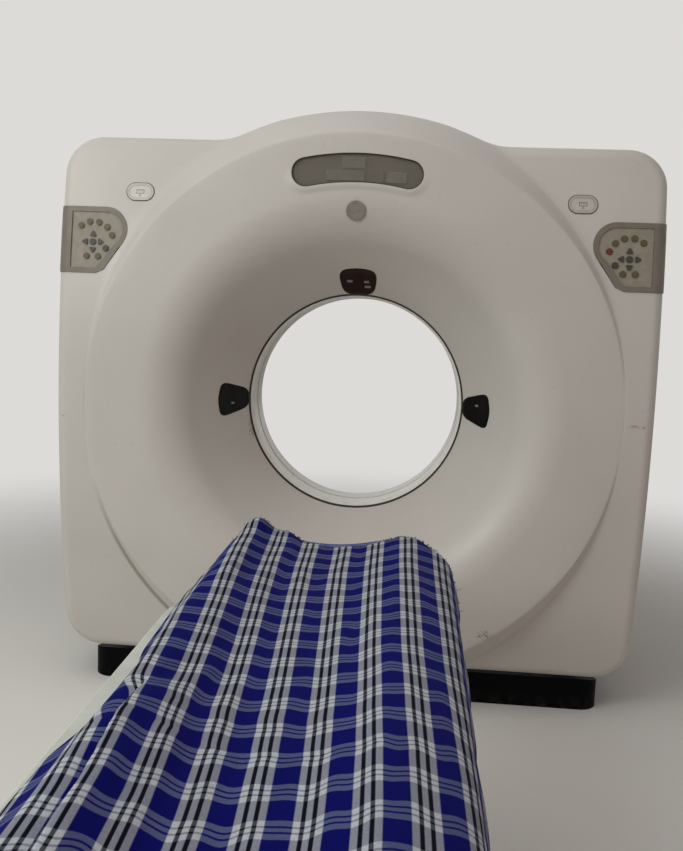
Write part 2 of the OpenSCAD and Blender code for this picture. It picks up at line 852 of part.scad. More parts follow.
// Carbon brushes that bear on the slip ring
module brush_block() {
    color("#2b2d31") difference() {
        translate([-45, plate_y + plate_t, axis_h + bearing_r - 8]) cube([90, 24, 90]);
        tube_y(bearing_r - 3 + 0.4, 10, plate_y, plate_y + plate_t + 60);
    }
}

// Rotor

module rotor_plate() {
    color("#a9adb1") difference() {
        tube_y(rotor_r2, rotor_r1, rotor_y, rotor_y + rotor_t);
        for (a = [20:40:340]) translate([0, rotor_y - 1, axis_h]) rotate([0, a, 0])
            translate([bearing_r + 115, 0, 0]) rotate([-90, 0, 0]) cylinder(r = 22, h = rotor_t + 2);
    }
}

module bearing_inner_ring() {
    color("#c3c6c8") tube_y(bearing_r - running, bearing_r - 35, bearing_y, plate_y + plate_t - 10);
}

module slip_ring() {
    r = bearing_r - 3;
    y = plate_y + plate_t - 10;
    color("#b08d57") difference() {
        tube_y(r, r - 22, y, y + 30);
        for (k = [0:2]) difference() {
            tube_y(r + 1, r - 2, y + 5 + 8 * k, y + 8 + 8 * k);
        }
    }
}

module xray_tube() {
    color("#8c8f93") translate([0, -rotor_front, axis_h + focus_r]) rotate([-90, 0, 0]) {
        difference() {
            cylinder(r = tube_r, h = rotor_front + rotor_y);
            for (k = [1:4]) translate([0, 0, 25 * k]) difference() {
                cylinder(r = tube_r + 1, h = 6);
                cylinder(r = tube_r - 5, h = 6);
            }
        }
    }
    color("#2b2d31") for (s = [-1, 1]) translate([s * 40, -rotor_front - 18, axis_h + focus_r + 20])
        rotate([-90, 0, 0]) cylinder(r = 18, h = 18);
}

module collimator() {
    color("#6f7378") difference() {
        translate([-70, -45, axis_h + rotor_r1 - 4]) cube([140, 45 + rotor_y, 110]);
        translate([0, -rotor_front - 1, axis_h + focus_r]) rotate([-90, 0, 0])
            cylinder(r = tube_r + seat, h = rotor_front + rotor_y + 2);
        translate([-50, -8, axis_h + rotor_r1 - 5]) cube([100, 16, 90]);
    }
}

module detector() {
    t = 62;
    r = focus_to_detector;
    color("#5d6166") translate([0, rotor_y, axis_h + focus_r]) rotate([90, 0, 0])
        linear_extrude(rotor_y + 60) intersection() {
            difference() {
                circle(r + t, $fn = big_fn);
                circle(r, $fn = big_fn);
            }
            polygon([[0, 0], polar(1400, 270 - fan_half_angle), polar(1400, 270 + fan_half_angle)]);
        }
}

module high_voltage_tank() {
    color("#4a4e55") translate([-rotor_r2 + 15, -rotor_front + 20, axis_h - 110])
        cube([180, rotor_front - 20 + rotor_y, 250]);
}

module inverter_box() {
    color("#7a7e83") translate([rotor_r2 - 195, -rotor_front + 30, axis_h - 110])
        cube([180, rotor_front - 30 + rotor_y, 240]);
}

module balance_weights() {
    color("#3c3f43") for (a = [35, 145]) translate([0, rotor_y, axis_h]) rotate([0, -a, 0])
        translate([rotor_r2 - 90, -40, -60]) cube([70, 40, 120]);
}

// Base and towers

// Side view of the base: its top follows the sweep of the tilting covers
module base_side(r) {
    difference() {
        translate([-base_half_d, 0]) square([2 * base_half_d, 2 * base_h]);
        translate([0, axis_h]) circle(r, $fn = big_fn);
        translate([-base_half_d - 1, axis_h - front_drop - base_gap + 1])
            square([2 * base_half_d + 2, axis_h]);
    }
}

module gantry_base() {
    end_in = base_half_w - 440;
    c = base_corner;
    color(black) difference() {
        union() {
            for (s = [-1, 1]) scale([s, 1, 1]) intersection() {
                from_side(end_in, base_half_w) base_side(base_top_r);
                translate([0, 0, -1]) linear_extrude(axis_h) {
                    square([2 * (base_half_w - c), 2 * base_half_d], center = true);
                    square([2 * base_half_w, 2 * (base_half_d - c)], center = true);
                    for (y = [-1, 1]) translate([base_half_w - c, y * (base_half_d - c)]) circle(c);
                }
            }
            from_side(-end_in, end_in) base_side(base_mid_r);
            for (s = [-1, 1]) translate([s * (tower_x + tower_t / 2), tower_foot_y, tower_foot_z / 2])
                cube([tower_t + 8, tower_foot_d + 16, tower_foot_z], center = true);
        }
        for (s = [-1, 1]) scale([s, 1, 1]) difference() {
            intersection() {
                from_side(end_in + base_wall, tower_x - 30) base_side(base_top_r + base_wall);
                translate([0, -base_half_d + base_wall, -1])
                    cube([base_half_w, 2 * (base_half_d - base_wall), axis_h]);
            }
            for (y = [-1, 1]) translate([anchor_x, y * anchor_y, -1]) cylinder(r = 25, h = axis_h);
        }
        for (x = [-1, 1], y = [-1, 1]) translate([x * anchor_x, y * anchor_y, -1])
            cylinder(r = anchor_r, h = axis_h);
        // Machined seat of each tower
        for (s = [-1, 1]) translate([s * (tower_x + tower_t / 2), tower_foot_y, tower_foot_z + axis_h / 2])
            cube([tower_t + 2, tower_foot_d + 2, axis_h], center = true);
    }
}

module tower_side() {
    h = tower_head_r;
    foot = tower_foot_z;
    polygon([[tower_foot_y - tower_foot_d / 2, foot], [tower_foot_y + tower_foot_d / 2, foot],
             [tower_foot_y + tower_foot_d / 2, foot + 40], [h * cos(10), axis_h + h * sin(10)], [0, axis_h],
             [-h * cos(10), axis_h - h * sin(10)], [tower_foot_y - tower_foot_d / 2, foot + 120]]);
    translate([0, axis_h]) circle(h);
}

module tower(s) {
    color(steel) scale([s, 1, 1]) difference() {
        from_side(tower_x, tower_x + tower_t) tower_side();
        translate([tower_x - 1, 0, axis_h]) rotate([0, 90, 0]) cylinder(r = bush_r, h = tower_t + 2);
        // Cored recess in the outer face
        translate([tower_x + tower_t - 20, tower_foot_y, 260]) rotate([0, 90, 0]) translate([0, -10, 0])
            linear_extrude(30) round_box_2d(220, 44, 16);
        translate([tower_x + tower_t - 20, tower_foot_y - 55, 560]) rotate([0, 90, 0])
            linear_extrude(30) round_box_2d(240, 70, 20);
    }
}

module left_tower() { tower(-1); }
module right_tower() { tower(1); }

module tower_bushes() {
    color("#b08d57") for (s = [-1, 1]) scale([s, 1, 1]) translate([tower_x, 0, axis_h]) rotate([0, 90, 0])
        difference() {
            cylinder(r = bush_r - 0.1, h = tower_t);
            translate([0, 0, -1]) cylinder(r = trunnion_r + running, h = tower_t + 2);
        }
}

// Worm gear drive that turns the left trunnion
module tilt_drive() {
    x = -tower_x - tower_t - 66;
    color("#4a4e55") difference() {
        union() {
            translate([x + 6, -75, axis_h - 75]) cube([60, 150, 150]);
            translate([x + 36, 25, axis_h - 300]) cylinder(r = 28, h = 225);
        }
        translate([x + 46, 0, axis_h]) rotate([0, 90, 0]) cylinder(r = trunnion_r + running, h = 40);
    }
}

module cable_duct() {
    y0 = -column_y + column_d / 2 + plate_end;
    color(black) translate([0, -base_half_d, 0]) rotate([90, 0, 0]) linear_extrude(-base_half_d - y0)
        polygon([[-90, 0], [90, 0], [70, 34], [-70, 34]]);
}

// Patient table

module column(w, d, z, h, pad) {
    translate([0, -column_y, z]) linear_extrude(h) difference() {
        round_box_2d(w, d, 30);
        round_box_2d(w - 2 * column_wall, d - 2 * column_wall, 30 - column_wall);
    }
    if (pad) {
        g = column_space - seat;
        translate([0, -column_y, z]) linear_extrude(50) for (s = [-1, 1]) {
            translate([s * (w + g) / 2, 0]) square([g, d / 2], center = true);
            translate([0, s * (d + g) / 2]) square([w / 2, g], center = true);
        }
    }
}

module table_base() {
    color(black) difference() {
        translate([0, -column_y, 0]) linear_extrude(table_plate)
            round_box_2d(column_w + 2 * plate_side, column_d + 2 * plate_end, base_corner);
        for (x = [-1, 1], y = [-1, 1])
            translate([x * (column_w + plate_side) / 2, -column_y + y * (column_d / 2 + plate_end - 50), -1])
                cylinder(r = 7, h = table_plate + 2);
    }
}

module outer_column() {
    color("#c8c6c1") column(column_w, column_d, table_plate, column_h, false);
}

module middle_column() {
    color("#a9a7a2") column(middle_w, middle_d, middle_z, middle_h, true);
}

module telescope_tube(r2, r1, z, h) {
    translate([0, -column_y, z]) difference() {
        cylinder(r = r2, h = h);
        translate([0, 0, -1]) cylinder(r = r1, h = h + 2);
    }
}

module lift_cylinder() {
    color(steel) telescope_tube(cylinder_r, sleeve_r + running, table_plate, column_h - 5);
}

module lift_sleeve() {
    color("#b5b8bb") telescope_tube(sleeve_r, rod_r + running, middle_z, middle_h - 6);
}

module lift_rod() {
    color("#d2d4d6") translate([0, -column_y, inner_z]) cylinder(r = rod_r, h = frame_z - inner_z);
}

// Chassis with the innermost column below it and the roller's ears in front
module table_frame() {
    front = -table_front - 16;
    back = -table_front - table_len + 20;
    color(steel) {
        difference() {
            union() {
                translate([-column_w / 2, back, rail_z - 12]) cube([column_w, front - back, 12]);
                for (s = [-1, 1]) translate([s * 170 - 20, back, frame_z]) cube([40, front - back, 30]);
                translate([0, -column_y, frame_z]) linear_extrude(12) round_box_2d(inner_w, inner_d, 30);
            }
        }
        column(inner_w, inner_d, inner_z, frame_z - inner_z, true);
        for (s = [-1, 1]) difference() {
            translate([s * 76 - 6, -roller_y - 18, rail_z]) cube([12, 36, roller_z + 12 - rail_z]);
            translate([s * 76 - 8, -roller_y, roller_z]) rotate([0, 90, 0])
                cylinder(r = 8 + running, h = 16);
        }
    }
}

module table_section(i) {
    w = table_half_w - i;
    polygon([[-w + 12, table_top_z - i], [w - 12, table_top_z - i], [w, table_top_z - 14 - i],
             [w, table_top_z - 90], [w - 45, table_low_z + i], [-w + 45, table_low_z + i],
             [-w, table_top_z - 90], [-w, table_top_z - 14 - i]]);
}

module table_plan(i) {
    translate([0, -table_front - table_len / 2])
        round_box_2d(2 * table_half_w - 2 * i, table_len - 2 * i, 60 - i);
}

// Moulded cover with a channel in which the cradle runs
module table_cover() {
    w = table_wall;
    y1 = -table_front;
    y0 = -table_front - table_len;
    color(white) difference() {
        intersection() {
            translate([0, y1, 0]) rotate([90, 0, 0]) linear_extrude(table_len) table_section(0);
            linear_extrude(axis_h) table_plan(0);
        }
        difference() {
            intersection() {
                translate([0, y1, 0]) rotate([90, 0, 0]) linear_extrude(table_len) table_section(w);
                linear_extrude(axis_h) table_plan(w);
            }
            translate([-channel_x - w, y0, channel_z - w]) cube([2 * channel_x + 2 * w, table_len, 200]);
        }
        translate([-channel_x, y0 - 1, channel_z]) cube([2 * channel_x, table_len + 2, 200]);
        translate([-slot_x - 20, y0 + 15, channel_z - 40]) cube([2 * slot_x + 40, table_len - 30, 60]);
        translate([0, -column_y, table_low_z - 10])
            linear_extrude(30) round_box_2d(column_w + 40, column_d + 20, 30);
    }
}

module cradle_rails() {
    front = -table_front - 90;
    back = -table_front - table_len + 30;
    color("#b5b8bb") for (s = [-1, 1]) translate([s * rail_x - 10, back, rail_z])
        cube([20, front - back, 20]);
}

module front_roller() {
    color("#3c3f43") translate([-66, -roller_y, roller_z]) rotate([0, 90, 0])
        cylinder(r = roller_r, h = 132);
    color("#b5b8bb") translate([-84, -roller_y, roller_z]) rotate([0, 90, 0]) cylinder(r = 8, h = 168);
}

// Cradle

module along_table(y_front, len) {
    translate([0, -y_front, 0]) rotate([90, 0, 0]) linear_extrude(len) children();
}

module cradle_section() {
    difference() {
        intersection() {
            translate([0, axis_h]) circle(cradle_r, $fn = big_fn);
            translate([-cradle_r, keel_z]) square([2 * cradle_r, rim_z - keel_z]);
        }
        translate([0, hollow_cz]) circle(hollow_r, $fn = big_fn);
    }
}

module cradle_plan(i, start, len) {
    r = 90;
    translate([0, -start - len / 2]) round_box_2d(2 * rim_x - 2 * i + 10, len, r);
}

module cradle() {
    color("#e2e0db") difference() {
        intersection() {
            along_table(cradle_tip, cradle_len) cradle_section();
            linear_extrude(axis_h) cradle_plan(0, cradle_tip, cradle_len);
        }
        for (s = [-1, 1]) translate([s * 45, -cradle_tip - 60, keel_z + 9.5]) rotate([-90, 0, 0])
            cylinder(r = 5, h = 70);
    }
}

module cradle_pad() {
    color("#1b2f9e") intersection() {
        along_table(cradle_tip, cradle_len) intersection() {
            difference() {
                translate([0, hollow_cz]) circle(hollow_r - seat, $fn = big_fn);
                translate([0, hollow_cz + pad_t]) circle(hollow_r, $fn = big_fn);
            }
            translate([-rim_x, keel_z]) square([2 * rim_x, rim_z - keel_z]);
        }
        translate([0, 0, keel_z]) linear_extrude(rim_z - keel_z)
            cradle_plan(rim_x - pad_half_w + 5, cradle_tip + 6, cradle_len - 26);
    }
}

// Carriage bolted under the cradle, with four guide blocks on the rails
module cradle_carriage() {
    y0 = -cradle_tip - cradle_len + 40;
    len = 400;
    neck_z = channel_z - 10;
    color("#7a7e83") {
        translate([-60, y0, neck_z]) cube([120, len, keel_z - neck_z]);
        translate([-155, y0, neck_z - 12]) cube([310, len, 12]);
        for (s = [-1, 1], y = [10, len - 90]) translate([s * rail_x, y0 + y, 0]) difference() {
            translate([-22, 0, rail_z + 6]) cube([44, 80, neck_z - 12 - rail_z - 6]);
            translate([-10 - seat, -1, rail_z - 1]) cube([20 + 2 * seat, 82, 21 + seat]);
        }
    }
}

// Cloth

// Underside of the cloth from the middle to the hem; right side when s is 1
function cloth_half(s) = concat(
    [for (k = [0:6]) let (x = k * (pad_half_w + 2) / 6)
        [s * x, hollow_cz + pad_t - sqrt(hollow_r * hollow_r - x * x) + seat]],
    [[s * (rim_x + 4), rim_z + 3]],
    s > 0 ?
        [[rim_x + 22, rim_z - 12], [table_half_w - 36, table_top_z + 3], [table_half_w + 4, table_top_z + 2],
         [table_half_w + 14, table_top_z - 16], [table_half_w + 20, table_top_z - cloth_drop]] :
        [[-rim_x - 12, rim_z - 20], [-rim_x - 22, table_top_z + 3], [-table_half_w + 26, table_top_z + 2]]);

module cloth_section() {
    left = cloth_half(-1);
    line = concat([for (k = [len(left) - 1:-1:1]) left[k]], cloth_half(1));
    last = len(line) - 1;
    upper = [for (k = [0:last])
        let (a = line[max(k - 1, 0)], b = line[min(k + 1, last)], d = (b - a) / norm(b - a))
        line[k] + cloth_t * [-d[1], d[0]]];
    polygon(concat(line, [for (k = [last:-1:0]) upper[k]]));
}

module plaid_cloth() {
    color("#1a1a86") along_table(cradle_tip + cloth_start, cloth_len) cloth_section();
}

gantry_base();
left_tower();
right_tower();
tower_bushes();
tilt_drive();
cable_duct();
table_base();
outer_column();
lift_cylinder();
middle_column();
lift_sleeve();
table_frame();
table_cover();
cradle_rails();
lift_rod();
front_roller();
cradle();
cradle_carriage();
cradle_pad();
plaid_cloth();
tilt_frame();
trunnion_pins();
bearing_outer_ring();
front_cover();
rear_cover();
cover_posts();
bore_liner();
scan_window();
throat_rings();
display_window();
display_panels();
front_disc();
laser_windows();
laser_modules();
left_control_pod();
right_control_pod();
left_keypad();
right_keypad();
button_rings();
left_push_button();
right_push_button();
drive_motor();
drive_belt();
brush_block();
rotor_plate();
bearing_inner_ring();
xray_tube();
collimator();
detector();
high_voltage_tank();
inverter_box();
slip_ring();
balance_weights();
motor_pulley();
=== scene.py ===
import json
import math

import bmesh
import bpy
import numpy as np
from mathutils import Matrix, Vector


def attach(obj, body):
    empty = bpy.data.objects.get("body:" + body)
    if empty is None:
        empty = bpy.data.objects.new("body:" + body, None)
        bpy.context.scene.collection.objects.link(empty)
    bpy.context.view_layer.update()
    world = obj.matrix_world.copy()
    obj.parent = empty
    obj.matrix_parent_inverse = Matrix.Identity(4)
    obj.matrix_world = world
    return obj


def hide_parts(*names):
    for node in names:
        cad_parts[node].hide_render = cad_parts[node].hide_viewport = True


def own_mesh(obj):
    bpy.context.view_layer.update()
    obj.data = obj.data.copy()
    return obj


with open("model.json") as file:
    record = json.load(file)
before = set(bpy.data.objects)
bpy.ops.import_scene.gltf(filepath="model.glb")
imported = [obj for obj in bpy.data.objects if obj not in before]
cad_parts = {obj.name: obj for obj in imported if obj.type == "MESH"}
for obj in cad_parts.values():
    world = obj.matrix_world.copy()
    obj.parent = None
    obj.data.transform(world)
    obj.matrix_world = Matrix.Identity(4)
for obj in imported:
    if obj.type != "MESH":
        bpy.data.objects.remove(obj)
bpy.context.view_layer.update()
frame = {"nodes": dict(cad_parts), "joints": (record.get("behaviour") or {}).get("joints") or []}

# ---------------------------------------------------------------- gantry base
# A low steel casting that stands on the floor and carries the two towers, with the duct that
# brings the table's cables to it. Textured black powder coat over primed steel: the finish is
# matt, with a fine orange peel and a little pale floor dust along its foot.
POWDER_COAT_ROUGHNESS = {"gantry_base": 0.55, "table_base": 0.55, "cable_duct": 0.6}
COLOURS = {"data_type": "RGBA"}
PRODUCT = {"operation": "MULTIPLY"}


def linear(hex_colour):
    """Linear RGBA of an sRGB hex colour."""
    channels = [int(hex_colour[i:i + 2], 16) / 255 for i in (0, 2, 4)]
    return tuple(c / 12.92 if c <= 0.04045 else ((c + 0.055) / 1.055) ** 2.4 for c in channels) + (1.0,)


def add(owner, kind, settings=None, sockets=None):
    """Adds a node to a material or a world, with its settings and its links.

    A socket takes a value, a hex colour, another node's output, or a node, which stands for the
    first of its outputs that is switched on.
    """
    tree = owner.node_tree
    made = tree.nodes.new(kind)
    for name, value in (settings or {}).items():
        setattr(made, name, value)
    for name, value in (sockets or {}).items():
        if isinstance(value, str):
            value = linear(value)
        elif isinstance(value, bpy.types.Node):
            value = next(output for output in value.outputs if output.enabled)
        if isinstance(value, bpy.types.NodeSocket):
            tree.links.new(value, made.inputs[name])
        else:
            made.inputs[name].default_value = value
    return made


def new_material(name):
    """An empty node material, and the coordinates of the object that it is on."""
    material = bpy.data.materials.new(name)
    material.use_nodes = True
    material.node_tree.nodes.clear()
    return material, add(material, "ShaderNodeTexCoord").outputs["Object"]


def finish_material(material, look, shader="ShaderNodeBsdfPrincipled"):
    """Gives a material its shader, whose sockets are in look, and its output."""
    add(material, "ShaderNodeOutputMaterial", sockets={"Surface": add(material, shader, sockets=look)})
    return material


def speckle(material, place, grain_mm, low, high, detail=3.0):
    """Noise whose grains are grain_mm across, stretched from low..high to 0..1."""
    noise = add(material, "ShaderNodeTexNoise", sockets={
        "Vector": place, "Scale": 1000 / grain_mm, "Detail": detail})
    return add(material, "ShaderNodeMapRange", sockets={"Value": noise, "From Min": low, "From Max": high})


def mottled(material, place, grain_mm, low, first, second):
    """Slow patches of two tones: the first below the noise's low end, the second above 0.7."""
    return add(material, "ShaderNodeMix", COLOURS, {
        0: speckle(material, place, grain_mm, low, 0.7), 6: first, 7: second})


def relief(material, place, grain_mm, strength, depth, detail=2.0):
    """Bump from noise whose grains are grain_mm across, such as a coat's orange peel."""
    fine = add(material, "ShaderNodeTexNoise", sockets={
        "Vector": place, "Scale": 1000 / grain_mm, "Detail": detail})
    return add(material, "ShaderNodeBump", sockets={"Height": fine, "Strength": strength, "Distance": depth})


def powder_coat(name, rough):
    """Textured powder coat: black and matt, with peel 1.6 mm across and dust on its lowest 50 mm."""
    material, place = new_material(name)
    height = add(material, "ShaderNodeSeparateXYZ", sockets={"Vector": place}).outputs["Z"]
    low = add(material, "ShaderNodeMapRange", sockets={"Value": height, "From Min": 0.05, "From Max": 0.0})
    dusty = add(material, "ShaderNodeMath", PRODUCT, {0: low, 1: speckle(material, place, 25, 0.45, 0.65)})
    return finish_material(material, {
        "Base Color": add(material, "ShaderNodeMix", COLOURS, {0: dusty, 6: "050506", 7: "24221f"}),
        "Roughness": rough, "Specular IOR Level": 0.06,
        "Normal": relief(material, place, 1.6, 0.25, 0.0004)})


def coat_node(node, *materials):
    """Gives a CAD node its materials, and returns its mesh."""
    mesh = frame["nodes"][node].data
    mesh.materials.clear()
    for material in materials:
        mesh.materials.append(material)
    return mesh


for node_name, rough in POWDER_COAT_ROUGHNESS.items():
    coat_node(node_name, powder_coat("black_powder_coat_" + node_name, rough))

# ---------------------------------------------------------------- machine parts
# Towers, tilting frame, rotor and drives sit behind the covers. Castings and plates are enamelled
# or left as machined metal; they show only with the gantry tilted or from below.
STREAK_MM, STREAK_STRETCH = 0.8, 12.0


def machine_finish(name, colour, shade, rough, metallic):
    """Tool or brush marks: streaks 0.8 mm wide and 12 times as long, across Y, over two tones in slow patches."""
    material, place = new_material(name)
    stretched = add(material, "ShaderNodeMapping", sockets={
        "Vector": place, "Scale": (1.0, STREAK_STRETCH, 1.0)})
    streaks = add(material, "ShaderNodeTexNoise", sockets={
        "Vector": stretched, "Scale": 1000 / STREAK_MM / STREAK_STRETCH, "Detail": 3.0})
    return finish_material(material, {
        "Base Color": mottled(material, place, 60, 0.35, colour, shade), "Metallic": metallic,
        "Roughness": add(material, "ShaderNodeMapRange", sockets={
            "Value": streaks, "To Min": rough - 0.08, "To Max": rough + 0.08}),
        "Normal": add(material, "ShaderNodeBump", sockets={
            "Height": streaks, "Strength": 0.15, "Distance": 0.0003})})


# Each finish: its two tones, roughness, metallic, and the nodes that have it.
MACHINE_FINISHES = {
    "grey_enamel_on_steel": ("8b8e90", "8b8e86", 0.45, 0.0, [
        "left_tower", "right_tower", "cover_posts", "table_frame", "lift_cylinder", "xray_tube", "collimator"]),
    "machined_casting": ("77797b", "777971", 0.5, 0.7, ["tilt_frame", "rotor_plate", "balance_weights"]),
    "ground_steel": ("b9bbbd", "b9bbb3", 0.28, 1.0, [
        "trunnion_pins", "bearing_outer_ring", "bearing_inner_ring", "cradle_rails", "lift_sleeve", "lift_rod"]),
    "machined_aluminium": ("c2c4c6", "c2c4bc", 0.35, 1.0, ["inverter_box", "motor_pulley", "cradle_carriage"]),
    "bearing_bronze": ("b08d57", "b08d4d", 0.35, 1.0, ["tower_bushes"]),
    "copper_tracks": ("c08552", "c08548", 0.3, 1.0, ["slip_ring"]),
    "dark_grey_enamel": ("3b3f45", "3b3f3b", 0.45, 0.0, ["tilt_drive", "drive_motor", "high_voltage_tank"]),
    "black_abs_housing": ("1d1e20", "1d1e16", 0.5, 0.0, ["laser_modules", "brush_block", "detector"]),
    "ribbed_rubber": ("16161a", "161610", 0.75, 0.0, ["drive_belt", "front_roller"]),
    "light_grey_lacquered_sheet": ("c3c1bb", "c3c1b1", 0.42, 0.0, ["outer_column", "middle_column"]),
}
for finish_name, (colour, shade, rough, metallic, members) in MACHINE_FINISHES.items():
    finish_here = machine_finish(finish_name, colour, shade, rough, metallic)
    for member in members:
        coat_node(member, finish_here)

# ---------------------------------------------------------------- gantry covers
# Two deep shells moulded in polyurethane and lacquered off-white, screwed to the stand-offs of the
# tilting frame. The front shell has bowed shoulders, a round face with a sloping flank, and the
# funnel that leads to the aperture.
AXIS_Z = next(j for j in frame["joints"] if j["name"] == "gantry_tilt")["pos_m"][2]
BORE_R = 0.350
THROAT_R = BORE_R + 0.008
TUNNEL_HALF = 0.084
FUNNEL_SLOPE = math.radians(57)
ROLL_R = 0.180
HALF_WIDTH = 0.920
SHOULDER = 0.817
CORNER_R = 0.115
EDGE_R = 0.035
FACE_R = 0.830
DRUM_R = 0.910
DRUM_EDGE_R = 0.012
FLANK_DEPTH = 0.100
FLANK_SOFT, CREASE_SOFT = 0.004, 0.010
FRONT_REACH, BOW_R = 0.408, 3.8
SEAM_HALF = 0.0015
COVER_WALL = 0.005
DISPLAY_R, DISPLAY_HALF, DISPLAY_REACH = 0.7265, 0.0425, 12.2
LIP_STEP, LIP_SPREAD = 0.004, 0.022
BUTTON_X, BUTTON_Z = 0.670, 0.645
CUT_PLAY = 0.0005
OPEN_HALF = 0.88
TURN_STEPS, WALL_STEPS, INNER_EVERY = 480, 12, 4
# The circle that blends the drum's top into the shoulders touches both: its centre, and where it meets the drum.
BLEND_R = 0.250
BLEND_Z = SHOULDER + BLEND_R
BLEND_X = math.sqrt((DRUM_R + BLEND_R)**2 - BLEND_Z**2)
BLEND_TOUCH_X = DRUM_R * (BLEND_X / (DRUM_R + BLEND_R))
# Each cover: its side, then its reach, its drop below the axis, its bow's radius and the height of its display
# lip, then the near and far y of the opening in its floor.
COVERS = {"front_cover": (-1, (FRONT_REACH, 0.836, BOW_R, 0.005), (-0.270, 0.1)),
          "rear_cover": (1, (0.440, 0.760, None, 0.0), (-0.1, 0.431))}


def rounding(inside, radius):
    """How far a rounded edge of this radius falls back, at a distance inside the outline."""
    lack = np.clip(radius - inside, 0, radius)
    return radius - np.sqrt(radius**2 - lack**2)


def bowed_back(z, bow):
    """How far the shoulders fall back at a height, on the bow's circle; a cover with no bow is flat."""
    return bow - np.sqrt(bow**2 - z**2) if bow else 0 * z


def box_inset(x, z, drop):
    """Distance inside the shoulders' rounded rectangle."""
    mid, half = (SHOULDER - drop) / 2, (SHOULDER + drop) / 2
    qx = np.abs(x) - HALF_WIDTH + CORNER_R
    qz = np.abs(z - mid) - half + CORNER_R
    outside = np.hypot(np.maximum(qx, 0), np.maximum(qz, 0))
    return CORNER_R - outside - np.minimum(np.maximum(qx, qz), 0)


def shoulder_inset(x, z, drop):
    """Distance inside the shoulders, whose top edge runs up in a hollow curve to the drum."""
    curve = np.hypot(np.abs(x) - BLEND_X, z - BLEND_Z) - BLEND_R
    return np.where((np.abs(x) < BLEND_X) & (z > 0.4), curve, box_inset(x, z, drop))


def outline_inset(x, z, drop):
    """Distance inside the whole cover seen from the front."""
    drum = np.minimum(DRUM_R - np.hypot(x, z), z + drop)
    hump = np.where(np.abs(x) > BLEND_TOUCH_X, shoulder_inset(x, z, drop), -1)
    return np.maximum(np.maximum(drum, box_inset(x, z, drop)), hump)


def funnel_depth(r, reach):
    """Straight cone from the tunnel, then an arc that runs out level with the face."""
    cone = TUNNEL_HALF + (r - BORE_R) * math.tan(FUNNEL_SLOPE)
    cone_end = BORE_R + (reach - TUNNEL_HALF - ROLL_R * (1 - math.cos(FUNNEL_SLOPE))) / math.tan(FUNNEL_SLOPE)
    flat = cone_end + ROLL_R * math.sin(FUNNEL_SLOPE)
    rolled = reach - ROLL_R + np.sqrt(np.maximum(ROLL_R**2 - (flat - r)**2, 0))
    return np.where(r < cone_end, cone, np.where(r < flat, rolled, reach))


def display_distance(x, z):
    """Distance outside the display's cut-out, and 1 below it, 0 above it, blended round its ends."""
    r, angle = np.hypot(x, z), np.degrees(np.arctan2(x, z))
    held = np.radians(np.clip(angle, -DISPLAY_REACH, DISPLAY_REACH))
    end_x, end_z = np.sin(held), np.cos(held)
    dx, dz = x - DISPLAY_R * end_x, z - DISPLAY_R * end_z
    distance = np.hypot(dx, dz)
    upwards = (dx * end_x + dz * end_z) / np.maximum(distance, 1e-6)
    return distance - DISPLAY_HALF, np.clip((0.35 - upwards) / 0.9, 0, 1)


def cover_depth(x, z, reach, drop, bow, lip):
    """Distance of the cover's face from the middle plane: funnel and drum joined to the bowed shoulders.

    The join is the greater of the two, softened along the crease: half of their sum plus the root of
    their difference squared plus the softness squared.
    """
    r = np.hypot(x, z)
    past = r - FACE_R
    flank = reach - FLANK_DEPTH / (DRUM_R - FACE_R) * (past + np.sqrt(past**2 + FLANK_SOFT**2)) / 2
    drum = np.where(r < FACE_R - 0.03, funnel_depth(r, reach), flank)
    drum = drum - rounding(DRUM_R - r, DRUM_EDGE_R) * (z > 0) - rounding(z + drop, DRUM_EDGE_R)
    away, below = display_distance(x, z)
    fading = np.cos(np.pi / 2 * np.clip((away - LIP_STEP) / LIP_SPREAD, 0, 1))**2
    drum = drum + lip * below * np.clip(1 + away / LIP_STEP, 0.6, 1) * fading
    wing = reach - bowed_back(z, bow) - rounding(shoulder_inset(x, z, drop), EDGE_R)
    soft = CREASE_SOFT * np.clip((np.abs(z) - 0.12) / 0.3, 0, 1)**2
    joined = (drum + wing + np.sqrt((drum - wing)**2 + soft**2)) / 2
    return np.where(r < FACE_R - 0.001, drum, np.minimum(joined, reach))


def outline_radius(turn, drop):
    """Radius of the outline at each angle, by halving an interval."""
    near, far = np.full_like(turn, 0.5), np.full_like(turn, 1.4)
    for _ in range(40):
        mid = (near + far) / 2
        inside = outline_inset(mid * np.cos(turn), mid * np.sin(turn), drop) > 0
        near, far = np.where(inside, mid, near), np.where(inside, far, mid)
    return near


